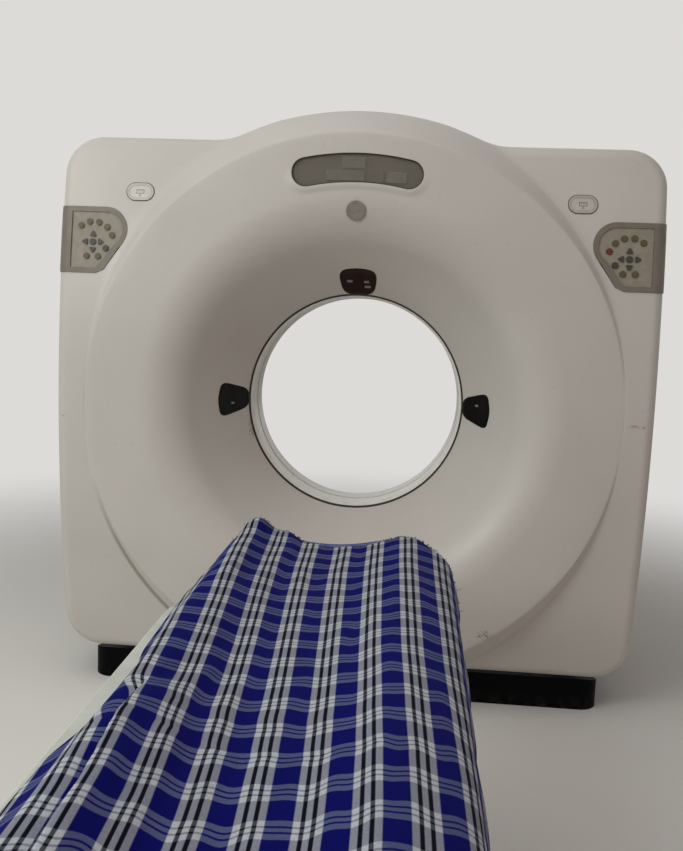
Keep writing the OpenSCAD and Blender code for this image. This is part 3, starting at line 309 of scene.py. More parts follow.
def cover_rings(reach, drop, bow, lip):
    """Places on the cover's outer face, ring by ring from the throat over crease and edge to the seam."""
    turn = np.linspace(0, 2 * np.pi, TURN_STEPS, endpoint=False)
    edge = outline_radius(turn, drop)
    # Up to the face's edge the rings are circles, closest together at the display's lip.
    inner = np.concatenate([
        np.linspace(THROAT_R, 0.500, 14), np.linspace(0.506, 0.642, 18), np.linspace(0.646, 0.692, 24),
        np.linspace(0.701, 0.815, 13), np.linspace(0.822, FACE_R, 4)])[:, None] + 0 * turn
    # The crease lies where the flank meets the shoulders, found by halving an interval.
    near, far = np.full_like(turn, FACE_R), edge.copy()
    for _ in range(30):
        mid = (near + far) / 2
        level = reach - (mid - FACE_R) * FLANK_DEPTH / (DRUM_R - FACE_R)
        bowed = reach - bowed_back(mid * np.sin(turn), bow)
        near, far = np.where(level > bowed, mid, near), np.where(level > bowed, far, mid)
    crease = np.clip(near, FACE_R + 0.004, FACE_R + 0.85 * (edge - FACE_R))
    middle = FACE_R + np.linspace(0, 1, 10)[1:, None] * (crease - FACE_R)
    outer = crease + (1 - (1 - np.linspace(0, 1, 38)[1:, None])**2) * (edge - crease)
    radius = np.concatenate([inner, middle, outer])
    x, z = radius * np.cos(turn), radius * np.sin(turn)
    depth = cover_depth(x, z, reach, drop, bow, lip)
    wall_depth = depth[-1] + np.linspace(0, 1, WALL_STEPS + 1)[1:, None] * (SEAM_HALF - depth[-1])
    x, z = [np.concatenate([face, np.repeat(face[-1:], WALL_STEPS, 0)]) for face in (x, z)]
    return x, z, np.concatenate([depth, wall_depth])


def grid_normals(points):
    """Unit normals of a closed ring grid, from its neighbours' differences."""
    across = np.gradient(points, axis=0)
    around = (np.roll(points, -1, 1) - np.roll(points, 1, 1)) / 2
    normal = np.cross(across, around)
    return normal / np.maximum(np.linalg.norm(normal, axis=2, keepdims=True), 1e-9)


def grid_faces(rows, columns, close_rows, close_columns):
    """Quads of a grid, closed round either way."""
    i = np.arange(rows if close_rows else rows - 1)[:, None]
    j = np.arange(columns if close_columns else columns - 1)[None, :]
    i2, j2 = (i + 1) % rows, (j + 1) % columns
    quads = [i * columns + j, i * columns + j2, i2 * columns + j2, i2 * columns + j]
    return np.stack(quads, -1).reshape(-1, 4)


def put_in_scene(name, data):
    """A new object at the origin, linked to the scene."""
    made = bpy.data.objects.new(name, data)
    bpy.context.scene.collection.objects.link(made)
    return made


def mesh_object(name, points, faces, material, smooth=True, uv=None):
    """A mesh object from arrays of places and quads, with a UV layer where uv gives one pair a point."""
    mesh = bpy.data.meshes.new(name)
    mesh.from_pydata(points.reshape(-1, 3).tolist(), [], faces.tolist())
    mesh.validate()
    if smooth:
        mesh.shade_smooth()
    if uv is not None:
        layer = mesh.uv_layers.new(name="weave")
        corner = np.empty(len(mesh.loops), np.int32)
        mesh.loops.foreach_get("vertex_index", corner)
        layer.data.foreach_set("uv", uv.reshape(-1, 2)[corner].ravel().astype(np.float32))
    mesh.materials.append(material)
    return put_in_scene(name, mesh)


def prism(outline, low, high, place):
    """Points and faces of a closed prism over an outline; place turns its three arrays into points."""
    a, b = np.asarray(outline, float).T
    count = len(a)
    points = np.concatenate([np.stack(place(a, b, np.full_like(a, level)), -1) for level in (low, high)])
    i = np.arange(count)
    j = (i + 1) % count
    sides = np.stack([i, j, j + count, i + count], -1).tolist()
    return points.tolist(), sides + [list(range(count))[::-1], list(range(count, 2 * count))]


def turn_outwards(mesh):
    """Recalculates the normals of closed forms, so that their faces point outwards."""
    work = bmesh.new()
    work.from_mesh(mesh)
    bmesh.ops.recalc_face_normals(work, faces=work.faces)
    work.to_mesh(mesh)
    work.free()


def joined_mesh(name, parts, material=None):
    """One mesh object of several lists of points and faces."""
    points, faces = [], []
    for part_points, part_faces in parts:
        start = len(points)
        points += part_points
        faces += [[start + k for k in face] for face in part_faces]
    mesh = bpy.data.meshes.new(name)
    mesh.from_pydata(points, [], faces)
    turn_outwards(mesh)
    if material:
        mesh.materials.append(material)
    return put_in_scene(name, mesh)


def arc(centre, radius, start, end, steps=24):
    """Points along an arc, angles in degrees."""
    angle = np.radians(np.linspace(start, end, steps))
    return np.stack([centre[0] + radius * np.cos(angle), centre[1] + radius * np.sin(angle)], -1)


def seen_from_above(a, b, level):
    """Plan places: right, back, and height."""
    return a, b, level


def facing_front(a, b, level):
    """Front view places: right, up from the axis, and distance in front of the middle plane."""
    return a, -level, AXIS_Z + b


def bow_at(z):
    """Where the front's bowed face is at a height: its y, and its lean backwards."""
    return -FRONT_REACH + BOW_R - math.sqrt(BOW_R**2 - z**2), math.asin(z / BOW_R)


def square_to_cover(side):
    """Places on the bowed face about a push button: away from the gantry's middle, up, and out of the face."""
    y, lean = bow_at(BUTTON_Z)

    def place(a, b, level):
        return (side * (BUTTON_X + a), y + b * math.sin(lean) - level * math.cos(lean),
                AXIS_Z + BUTTON_Z + b * math.cos(lean) + level * math.sin(lean))
    return place


def stadium(width, height):
    """Oval outline: two half circles joined by straight lines."""
    half = (width - height) / 2
    return np.concatenate([arc((half, 0), height / 2, -90, 90), arc((-half, 0), height / 2, 90, 270)])


def display_outline(grow):
    """The display's curved slot: an arc as wide as the window, with half circles at its ends."""
    mid, half, reach = DISPLAY_R, DISPLAY_HALF + grow, DISPLAY_REACH
    right, left = [mid * np.array([math.cos(math.radians(90 + t * reach)), math.sin(math.radians(90 + t * reach))])
                   for t in (-1, 1)]
    return np.concatenate([
        arc((0, 0), mid + half, 90 - reach, 90 + reach, 40), arc(left, half, 90 + reach, 270 + reach, 24)[1:-1],
        arc((0, 0), mid - half, 90 + reach, 90 - reach, 40), arc(right, half, -90 - reach, 90 - reach, 24)[1:-1]])


def rounded(corners, cut, steps=7):
    """Closed outline whose corners are cut back by cut and rounded by a quadratic curve."""
    corners = np.asarray(corners, float)
    t = np.linspace(0, 1, steps)[:, None]
    points = []
    for before, corner, after in zip(np.roll(corners, 1, 0), corners, np.roll(corners, -1, 0)):
        start = corner + (before - corner) * min(cut / np.linalg.norm(before - corner), 0.49)
        end = corner + (after - corner) * min(cut / np.linalg.norm(after - corner), 0.49)
        points.append((1 - t)**2 * start + 2 * t * (1 - t) * corner + t**2 * end)
    return np.concatenate(points)


def laser_outline(turn, grow):
    """Laser window: a trapezoid with rounded corners, its outer edge a little bowed; the top one is wider."""
    inner, outer, cut = (0.052, 0.064, 0.030) if turn == 90 else (0.031, 0.060, 0.022)
    corners = np.array([[0.362 - grow, -inner - grow], [0.434, -outer - grow], [0.4435 + grow, 0],
                        [0.434, outer + grow], [0.362 - grow, inner + grow]])
    t = math.radians(turn)
    return rounded(corners, cut) @ np.array([[math.cos(t), math.sin(t)], [-math.sin(t), math.cos(t)]])


def pod_outline(grow):
    """Right control pod seen from the front, from its round inner end to the gantry's side."""
    cx, cz, r = 0.775, 0.526, 0.070 + grow
    return np.concatenate([[[0.960, 0.596 + grow]], arc((cx, cz), r, 90, 215, 40),
                           [[cx - 0.001 - grow, 0.405 - grow], [0.800, 0.393 - grow], [0.960, 0.393 - grow]]])


# Worn and dirty places: centre, half sizes, grain in mm, colour, strength.
MARKS = [((0.453, -0.385, 0.272), (0.040, 0.08, 0.022), 5, "6b4a38", 0.75),
         ((0.866, -0.400, 0.945), (0.045, 0.10, 0.008), 8, "70584a", 0.6),
         ((-0.915, -0.360, 1.112), (0.012, 0.05, 0.012), 4, "4a3a30", 0.8),
         ((-0.893, -0.380, 0.898), (0.014, 0.05, 0.008), 4, "54443a", 0.7),
         ((-0.345, -0.10, 0.856), (0.020, 0.06, 0.060), 6, "4d4038", 0.7)]
SMOOTH_STEP = {"interpolation_type": "SMOOTHSTEP"}


def crease_painted_shade(material, place):
    """Share of painted shade where the face's flank meets the bowed shoulders, in the front's lower half.

    The crease is a circle round the axis whose radius grows with the height squared.
    """
    parts = add(material, "ShaderNodeSeparateXYZ", sockets={"Vector": place}).outputs
    height = add(material, "ShaderNodeMath", {"operation": "SUBTRACT"}, {0: parts["Z"], 1: AXIS_Z})
    squared = add(material, "ShaderNodeMath", PRODUCT, {0: height, 1: height})
    both = add(material, "ShaderNodeMath", {"operation": "MULTIPLY_ADD"}, {
        0: parts["X"], 1: parts["X"], 2: squared})
    radius = add(material, "ShaderNodeMath", {"operation": "SQRT"}, {0: both})
    per_height = (DRUM_R - FACE_R) / FLANK_DEPTH / (2 * BOW_R)
    crease = add(material, "ShaderNodeMath", {"operation": "MULTIPLY_ADD"}, {
        0: squared, 1: per_height, 2: FACE_R + 0.002})
    beside = add(material, "ShaderNodeMath", {"operation": "SUBTRACT"}, {0: radius, 1: crease})
    near = add(material, "ShaderNodeMapRange", SMOOTH_STEP, {
        "Value": add(material, "ShaderNodeMath", {"operation": "ABSOLUTE"}, {0: beside}),
        "From Min": 0.011, "From Max": 0.002, "To Max": 0.75})
    low = add(material, "ShaderNodeMapRange", SMOOTH_STEP, {
        "Value": height, "From Min": -0.22, "From Max": -0.50})
    leftwards = add(material, "ShaderNodeMapRange", SMOOTH_STEP, {
        "Value": parts["X"], "From Min": 0.15, "From Max": -0.15, "To Min": 0.15})
    in_front = add(material, "ShaderNodeMath", {"operation": "LESS_THAN"}, {0: parts["Y"], 1: 0.0})
    line = add(material, "ShaderNodeMath", PRODUCT, {0: near, 1: low})
    place_on_front = add(material, "ShaderNodeMath", PRODUCT, {0: in_front, 1: leftwards})
    return add(material, "ShaderNodeMath", PRODUCT, {0: line, 1: place_on_front})


def gantry_lacquer():
    """Satin two-part lacquer on moulded polyurethane: even, with slow cloudy yellowing, faint grime, and painted
    shade along the crease round the face's lower half.
    """
    material, place = new_material("satin_lacquer_on_moulded_cover")
    cloudy = speckle(material, place, 420, 0.3, 0.7, 2.0)
    tone = add(material, "ShaderNodeMix", COLOURS, {0: cloudy, 6: "d3cdc8", 7: "cbc5bf"})
    grime = speckle(material, place, 18, 0.62, 0.80, 6.0)
    faint = add(material, "ShaderNodeMath", PRODUCT, {0: grime, 1: 0.12})
    dirt = [(faint, "8f7f70")]
    for centre, size, grain_mm, colour, strength in MARKS:
        moved = add(material, "ShaderNodeVectorMath", {"operation": "SUBTRACT"}, {0: place, 1: centre})
        scaled = add(material, "ShaderNodeVectorMath", {"operation": "DIVIDE"}, {0: moved, 1: size})
        near = add(material, "ShaderNodeMapRange", SMOOTH_STEP, {
            "Value": add(material, "ShaderNodeVectorMath", {"operation": "LENGTH"}, {0: scaled}),
            "From Min": 1.0, "From Max": 0.3, "To Max": strength})
        spots = speckle(material, place, grain_mm, 0.46, 0.60, 4.0)
        dirt.append((add(material, "ShaderNodeMath", PRODUCT, {0: near, 1: spots}), colour))
    # The last colour, 857c6c, is painted shade along the face's crease, strongest on the left.
    for share, colour in dirt + [(crease_painted_shade(material, place), "857c6c")]:
        tone = add(material, "ShaderNodeMix", COLOURS, {0: share, 6: tone, 7: colour})
    return finish_material(material, {
        "Base Color": tone, "IOR": 1.48, "Normal": relief(material, place, 3.0, 0.06, 0.0003, 1.0),
        "Roughness": add(material, "ShaderNodeMapRange", sockets={
            "Value": cloudy, "To Min": 0.38, "To Max": 0.48})})


lacquer = gantry_lacquer()
cut_outs = [prism(display_outline(CUT_PLAY), 0.36, 0.44, facing_front)]
cut_outs += [prism(laser_outline(turn, CUT_PLAY), 0.09, 0.40, facing_front) for turn in (0, 90, 180)]
for side in (-1, 1):
    cut_outs.append(prism(pod_outline(CUT_PLAY) * [side, 1], 0.2975, 0.46, facing_front))
    cut_outs.append(prism(stadium(0.073, 0.042), -0.03, 0.03, square_to_cover(side)))
for cover_name, (side, shape, (y0, y1)) in COVERS.items():
    x, z, depth = cover_rings(*shape)
    outer = np.stack([x, side * depth, AXIS_Z + z], -1)
    # The grid's normals point towards -Y, so their sign is turned on the front cover to have them point inwards.
    inward = side * grid_normals(outer)
    keep = np.unique(np.concatenate([np.arange(0, len(outer), INNER_EVERY), [len(outer) - 1]]))
    inner = (outer + COVER_WALL * inward)[keep][::-1]
    inner[..., 1] = side * np.maximum(side * inner[..., 1], SEAM_HALF)
    closed = np.concatenate([outer, inner])
    cover = mesh_object(cover_name + "_shell", closed, grid_faces(len(closed), TURN_STEPS, True, True), lacquer)
    turn_outwards(cover.data)
    floor_z = AXIS_Z - shape[1]
    below = prism([(-OPEN_HALF, y0), (OPEN_HALF, y0), (OPEN_HALF, y1), (-OPEN_HALF, y1)],
                  floor_z - 0.02, floor_z + 0.016, seen_from_above)
    cutter = joined_mesh("cutter", [below] + (cut_outs if cover_name == "front_cover" else []))
    cutting = cover.modifiers.new("cut_outs", "BOOLEAN")
    cutting.operation, cutting.object = "DIFFERENCE", cutter
    # The exact solver leaves nothing of the rear shell, so the fast one makes its single cut.
    cutting.solver = "EXACT" if cover_name == "front_cover" else "FAST"
    bpy.context.view_layer.update()
    cut_mesh = bpy.data.meshes.new_from_object(cover.evaluated_get(bpy.context.evaluated_depsgraph_get()))
    cover.modifiers.clear()
    cover.data = cut_mesh
    bpy.data.objects.remove(cutter)
    cut_mesh.set_sharp_from_angle(angle=math.radians(32))
    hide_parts(cover_name)
    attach(cover, "tilting_gantry")

# ---------------------------------------------------------------- tunnel
# Smooth polycarbonate liner in two lengths, the polyester film ring that lets the beam through, and
# a trim ring at each mouth. All are pressed into the covers' funnels. A dark ring round the front
# mouth is painted shade of the gap between its trim ring and the funnel.

# The painted-shade ring's four edges: radius, and level above the funnel.
THROAT_SHADE_RING = ((0.3570, -0.003), (0.3573, 0.0008), (0.3628, 0.0010), (0.3632, -0.003))


def uneven_roughness(material, place, grain_mm, smoothest, roughest, low=0.3, high=0.7, detail=3.0):
    """Roughness in patches grain_mm across, as handling and cleaning leave it."""
    return add(material, "ShaderNodeMapRange", sockets={
        "Value": speckle(material, place, grain_mm, low, high, detail), "To Min": smoothest, "To Max": roughest})


def satin_plastic(name, colour, shade, rough, grain_mm=30, peel_mm=1.2, peel=0.05):
    """Moulded or printed plastic and rubber: an even satin, with two close tones and a fine peel."""
    material, place = new_material(name)
    return finish_material(material, {
        "Base Color": mottled(material, place, grain_mm, 0.35, colour, shade),
        "Roughness": uneven_roughness(material, place, grain_mm * 3, rough - 0.04, rough + 0.05),
        "Normal": relief(material, place, peel_mm, peel, 0.0003)})


def four_edged_ring(name, edges, place, material):
    """A closed ring of four-sided section: each of its four edges is an outline at a level, set by place."""
    lines = []
    for outline, level in edges:
        a, b = outline.T
        lines.append(np.stack(place(a, b, np.full_like(a, level)), -1))
    made = mesh_object(name, np.array(lines), grid_faces(4, len(lines[0]), True, True), material, False)
    turn_outwards(made.data)
    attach(made, "tilting_gantry")


coat_node("bore_liner", satin_plastic("polycarbonate_liner", "f3f2ee", "eae8e2", 0.32))
coat_node("scan_window", satin_plastic("polyester_film", "c2bead", "b6b1a0", 0.25))
coat_node("throat_rings", satin_plastic("moulded_trim_ring", "f1f0eb", "e6e4de", 0.35))
turn = np.linspace(0, 2 * np.pi, 360, endpoint=False)
unit_circle = np.stack([np.cos(turn), np.sin(turn)], -1)
# Dark ring at the front mouth: painted shade of the gap round the trim ring.
four_edged_ring("throat_seal", [(r * unit_circle, funnel_depth(r, FRONT_REACH) + level) for r, level in THROAT_SHADE_RING],
          facing_front, satin_plastic("dark_gap_sealant", "3a302a", "241d19", 0.7, 8))

# ---------------------------------------------------------------- display
# Curved window of smoked acrylic, let into the cover, with three unlit liquid crystal modules on a
# board behind it. A black ring round its edge is painted shade of the gap and the cut-out's wall.
# The plain anodised disc sits above the funnel.

# The painted-shade ring's four edges: growth of the window's outline, and distance from the middle plane.
WINDOW_SHADE_RING = ((0.0003, 0.3995), (0.0003, 0.4078), (-0.0028, 0.4075), (-0.0028, 0.4011))


def smoked_acrylic():
    """Cast acrylic, half see-through and glossy, with faint wiping marks."""
    material, place = new_material("smoked_acrylic")
    return finish_material(material, {
        "Base Color": mottled(material, place, 60, 0.3, "6a5e53", "73675b"), "Alpha": 0.50, "IOR": 1.49,
        "Roughness": uneven_roughness(material, place, 60, 0.16, 0.20, 0.35, 0.75, 1.0)})


coat_node("display_window", smoked_acrylic())
coat_node("display_panels", satin_plastic("unlit_liquid_crystal", "f4faf2", "e9efe6", 0.22, 12))
coat_node("front_disc", satin_plastic("anodised_disc", "9f9690", "8a827c", 0.3, 9))
# Black ring round the window: painted shade of the gap and the cut-out's wall.
four_edged_ring("window_seal", [(display_outline(grow), level) for grow, level in WINDOW_SHADE_RING], facing_front,
          satin_plastic("black_rubber_seal", "1b1917", "141210", 0.6))

# ---------------------------------------------------------------- laser windows
# Dark red acrylic windows moulded to the funnel, one at the top and one at each side; the top
# window's redder colour is painted light, for the light it catches. Pale ovals on the windows' faces
# are painted glints of the line lasers' lenses behind them.

# A window's section from its skirt to its middle: share of the outline's size, and level above the funnel.
WINDOW_SHARES = np.array([1, 1, 0.985, 0.955, 0.91, 0.82, 0.6, 0.35, 0.12])
WINDOW_LEVELS = np.array([-0.004, 0.0002, 0.0014, 0.0022, 0.0026, 0.0029, 0.0032, 0.0033, 0.0033])
# Each painted glint of a lens: turn round the axis in degrees, radius, place across, and length.
LENSES = [(0, 0.404, 0.014, 0.010), (180, 0.404, 0.014, 0.010), (90, 0.402, 0.028, 0.019),
          (90, 0.401, -0.027, 0.018), (90, 0.386, -0.030, 0.021)]
LENS_LEVEL, LENS_THICK, LENS_HEIGHT = 0.0028, 0.0009, 0.0075


def deep_acrylic():
    """Acrylic dyed so deep that it looks black; the top window's red is painted light, for the light it gets."""
    material, place = new_material("deep_red_acrylic")
    height = add(material, "ShaderNodeSeparateXYZ", sockets={"Vector": place}).outputs["Z"]
    # The top window's base colour turns redder: painted light, for the light it catches.
    upper = add(material, "ShaderNodeMapRange", sockets={
        "Value": height, "From Min": AXIS_Z + 0.1, "From Max": AXIS_Z + 0.36})
    return finish_material(material, {
        "Base Color": add(material, "ShaderNodeMix", COLOURS, {0: upper, 6: "040404", 7: "220806"}),
        "Roughness": uneven_roughness(material, place, 25, 0.08, 0.2, 0.35), "Specular IOR Level": 0.22})


def laser_window(turn):
    """Points and faces of one window: a skirt in the cover's cut-out, a rounded rim and a slightly domed face."""
    outline = laser_outline(turn, 0.0)
    middle = outline.mean(0)
    xz = middle + WINDOW_SHARES[:, None, None] * (outline - middle)[None]
    depth = funnel_depth(np.hypot(xz[..., 0], xz[..., 1]), FRONT_REACH) + WINDOW_LEVELS[:, None]
    points = np.stack([xz[..., 0], -depth, AXIS_Z + xz[..., 1]], -1)
    sides = grid_faces(len(WINDOW_SHARES), len(outline), False, True)
    first = np.arange(len(outline))
    last = first + (len(WINDOW_SHARES) - 1) * len(outline)
    return points.reshape(-1, 3).tolist(), sides.tolist() + [first[::-1].tolist(), last.tolist()]


def laser_lens(turn, radius, across, length):
    """Points and faces of one pale oval, a painted glint of a laser lens, which follows the funnel just above the
    window's face.
    """
    t = math.radians(turn)
    middle = (radius * np.array([math.cos(t), math.sin(t)])
              + across * np.array([-math.sin(t), math.cos(t)]))

    def on_funnel(a, b, level):
        """Places right and up from the lens' middle, and in front of the window's face."""
        x, z = middle[0] + a, middle[1] + b
        return x, -(funnel_depth(np.hypot(x, z), FRONT_REACH) + LENS_LEVEL + level), AXIS_Z + z
    return prism(stadium(length, LENS_HEIGHT), 0, LENS_THICK, on_funnel)


windows = joined_mesh("laser_windows_moulded", [laser_window(turn) for turn in (0, 90, 180)], deep_acrylic())
windows.data.shade_smooth()
windows.data.set_sharp_from_angle(angle=math.radians(50))
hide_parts("laser_windows")
# Pale ovals on the windows' faces: painted glints of the lasers' lenses catching the light.
lenses = joined_mesh("laser_lenses", [laser_lens(*lens) for lens in LENSES],
                     satin_plastic("coated_lens", "8c857d", "6f6962", 0.15, 6))
for piece in (windows, lenses):
    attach(piece, "tilting_gantry")

# ---------------------------------------------------------------- push buttons
# A pale button in an oval ring on each shoulder, moulded in glossy ABS. A thin dark ring between the
# oval ring and the cover is painted shade of the gap there. Each has a printed outline of a table in thin grey
# ink.
BUTTON_SHADE_INNER, BUTTON_SHADE_OUTER = stadium(0.0844, 0.0534), stadium(0.0884, 0.0574)
BUTTON_SHADE_LOW, BUTTON_SHADE_TOP = -0.0010, 0.0016
INK_LOW, INK_TOP = 0.0028, 0.0032
# The bars of the printed outline: middle across and up, width and height.
TABLE_SIGN = [(0, 0.006, 0.024, 0.0016), (0, -0.005, 0.024, 0.0016), (-0.0112, 0.0005, 0.0016, 0.011),
              (0.0112, 0.0005, 0.0016, 0.011), (0, -0.0085, 0.0016, 0.006), (0, 0.0022, 0.014, 0.0012),
              (0, -0.012, 0.009, 0.0013)]
coat_node("button_rings", satin_plastic("glossy_abs_ring", "bdb8b0", "aea9a1", 0.3))
for button in ("left_push_button", "right_push_button"):
    coat_node(button, satin_plastic("glossy_abs_button_" + button, "cfc9c2", "c3bdb6", 0.3))
# Thin dark ring round each button's oval ring: painted shade of the gap to the cover.
button_shade_material = satin_plastic("rubber_gasket", "332f2b", "28241f", 0.65, 8)
for side, name in ((-1, "left"), (1, "right")):
    four_edged_ring(name + "_button_gasket", [
        (BUTTON_SHADE_INNER, BUTTON_SHADE_LOW), (BUTTON_SHADE_INNER, BUTTON_SHADE_TOP), (BUTTON_SHADE_OUTER, BUTTON_SHADE_TOP),
        (BUTTON_SHADE_OUTER, BUTTON_SHADE_LOW)], square_to_cover(side), button_shade_material)
print_ink = satin_plastic("grey_pad_print", "625b55", "57514c", 0.5, 5)
for side, body in ((-1, "left_button"), (1, "right_button")):
    bars = [prism([(x - w / 2, z - h / 2), (x + w / 2, z - h / 2), (x + w / 2, z + h / 2), (x - w / 2, z + h / 2)],
                  INK_LOW, INK_TOP, square_to_cover(side)) for x, z, w, h in TABLE_SIGN]
    mark = joined_mesh(body + "_print", bars, print_ink)
    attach(mark, body)

# ---------------------------------------------------------------- control pods
# Grey-brown moulded ABS that wraps round the gantry's side, with one sealed silicone keypad each.
# The round function keys are olive, the arrows dark, and one key on the right is red.
KEYPAD_X, KEYPAD_Z = 0.812, 0.488
KEY_RING_R, KEY_R, ARROW_R = 0.063, 0.0102, 0.0112
INK_FLOOR = -0.0013
KEY_TURNS = [math.radians(52 + 27 * k) for k in range(5)]
KEY_SPOTS = [(KEY_RING_R * math.cos(t), KEY_RING_R * math.sin(t)) for t in KEY_TURNS]
KEY_SPOTS += [(0.018, -0.044), (-0.018, -0.044)]
ARROW_SPOTS = [(0.024, 0), (0, 0.024), (-0.024, 0), (0, -0.024), (0, 0), (-0.041, -0.019)]


def ease_edges(node, width):
    """Rounds the sharp edges of a CAD node, as a mould does."""
    easing = frame["nodes"][node].modifiers.new("eased_edges", "BEVEL")
    easing.width, easing.segments, easing.limit_method = width, 3, "ANGLE"
    easing.angle_limit = math.radians(35)
    easing.harden_normals = False


pod_plastic = satin_plastic("textured_abs_pod", "7b7369", "716a60", 0.5, 40, 0.9, 0.18)
keypad_skins = [satin_plastic("silicone_keypad", "999283", "8e8777", 0.55, 20),
                satin_plastic("olive_key_ink", "575030", "4b452a", 0.5, 6),
                satin_plastic("dark_key_ink", "3a3730", "302d28", 0.5, 6),
                satin_plastic("red_key_ink", "6a231b", "581b15", 0.5, 6)]
for side, name in ((-1, "left"), (1, "right")):
    coat_node(name + "_control_pod", pod_plastic)
    ease_edges(name + "_control_pod", 0.0035)
    mesh = coat_node(name + "_keypad", *keypad_skins)
    centre = np.empty(len(mesh.polygons) * 3)
    mesh.polygons.foreach_get("center", centre)
    centre = centre.reshape(-1, 3)
    # Each face's place on the keypad: across, up its bowed face, and out of it.
    y0, lean = bow_at(KEYPAD_Z)
    across = side * centre[:, 0] - KEYPAD_X
    dy, dz = centre[:, 1] - y0, centre[:, 2] - AXIS_Z - KEYPAD_Z
    up = dy * math.sin(lean) + dz * math.cos(lean)
    out = -dy * math.cos(lean) + dz * math.sin(lean)
    ink = np.zeros(len(centre), np.int32)
    inked = [(1, KEY_SPOTS, KEY_R), (2, ARROW_SPOTS, ARROW_R)]
    if side == 1:
        inked.append((3, KEY_SPOTS[4:5], KEY_R))
    for number, spots, reach in inked:
        for key_x, key_z in spots:
            ink[(np.hypot(across - key_x, up - key_z) < reach) & (out > INK_FLOOR)] = number
    mesh.polygons.foreach_set("material_index", ink)

# ---------------------------------------------------------------- table
# The table's fixed part: a floor plate, nested columns and a chassis under a channel-shaped cover.
# The cover is vacuum-formed white ABS with a soft sheen, a little dusty along its upper face.


def moulded_white(name, colour, shade, rough, dust):
    """Formed or gel-coated white plastic: two close tones, a soft peel, and dust on what faces up."""
    material, place = new_material(name)
    tone = mottled(material, place, 140, 0.3, colour, shade)
    normal = add(material, "ShaderNodeNewGeometry").outputs["Normal"]
    up = add(material, "ShaderNodeSeparateXYZ", sockets={"Vector": normal}).outputs["Z"]
    lying = add(material, "ShaderNodeMapRange", sockets={"Value": up, "From Min": 0.6, "From Max": 1.0})
    dusty = add(material, "ShaderNodeMath", PRODUCT, {0: lying, 1: speckle(material, place, 45, 0.4, 0.75, 5.0)})
    return finish_material(material, {
        "Base Color": add(material, "ShaderNodeMix", COLOURS, {0: dusty, 6: tone, 7: dust}),
        "Roughness": uneven_roughness(material, place, 70, rough - 0.05, rough + 0.06),
        "Normal": relief(material, place, 20 / 7, 0.05, 0.0004)})


ease_edges("table_cover", 0.006)
coat_node("table_cover", moulded_white("vacuum_formed_abs", "d9dcd4", "d0d3ca", 0.38, "c6c6bc"))

# ---------------------------------------------------------------- cradle and pad
# The cradle is a thin curved shell of carbon fibre and foam under white gel coat. A blue vinyl pad
# with a welded bead round its edge lies in its hollow, held by its own weight and the cradle's rims.
TIP_Y, CRADLE_LEN = -0.849, 2.250
HOLLOW_R, HOLLOW_Z = 0.489, 1.130
RIM_Z = 0.688
PAD_T, PAD_FOAM = 0.016, 0.015
PAD_HALF_W, PAD_HALF_L, PAD_CORNER = 0.188, CRADLE_LEN / 2 - 0.014, 0.085
PAD_LIFT, PAD_ROLL = 0.0004, 0.008
BEAD_IN, BEAD_WIDTH, BEAD_SHARE = 0.0125, 0.002, 0.16
coat_node("cradle", moulded_white("white_gel_coat", "dcdcd6", "d3d3cc", 0.22, "cbcac2"))


def smooth(a, b, t):
    """0 before a, 1 after b, with a smooth rise between them."""
    t = np.clip((t - a) / (b - a), 0, 1)
    return t * t * (3 - 2 * t)


def vinyl():
    """Embossed upholstery vinyl: deep blue with a soft gloss, and a leather-like grain 1.4 mm across."""
    material, place = new_material("blue_upholstery_vinyl")
    grain = add(material, "ShaderNodeTexVoronoi", {"feature": "DISTANCE_TO_EDGE"}, {
        "Vector": place, "Scale": 700.0})
    return finish_material(material, {
        "Base Color": mottled(material, place, 90, 0.3, "1a2c8e", "16267c"), "Roughness": 0.42,
        "Normal": add(material, "ShaderNodeBump", sockets={
            "Height": grain, "Strength": 0.3, "Distance": 0.0003})})


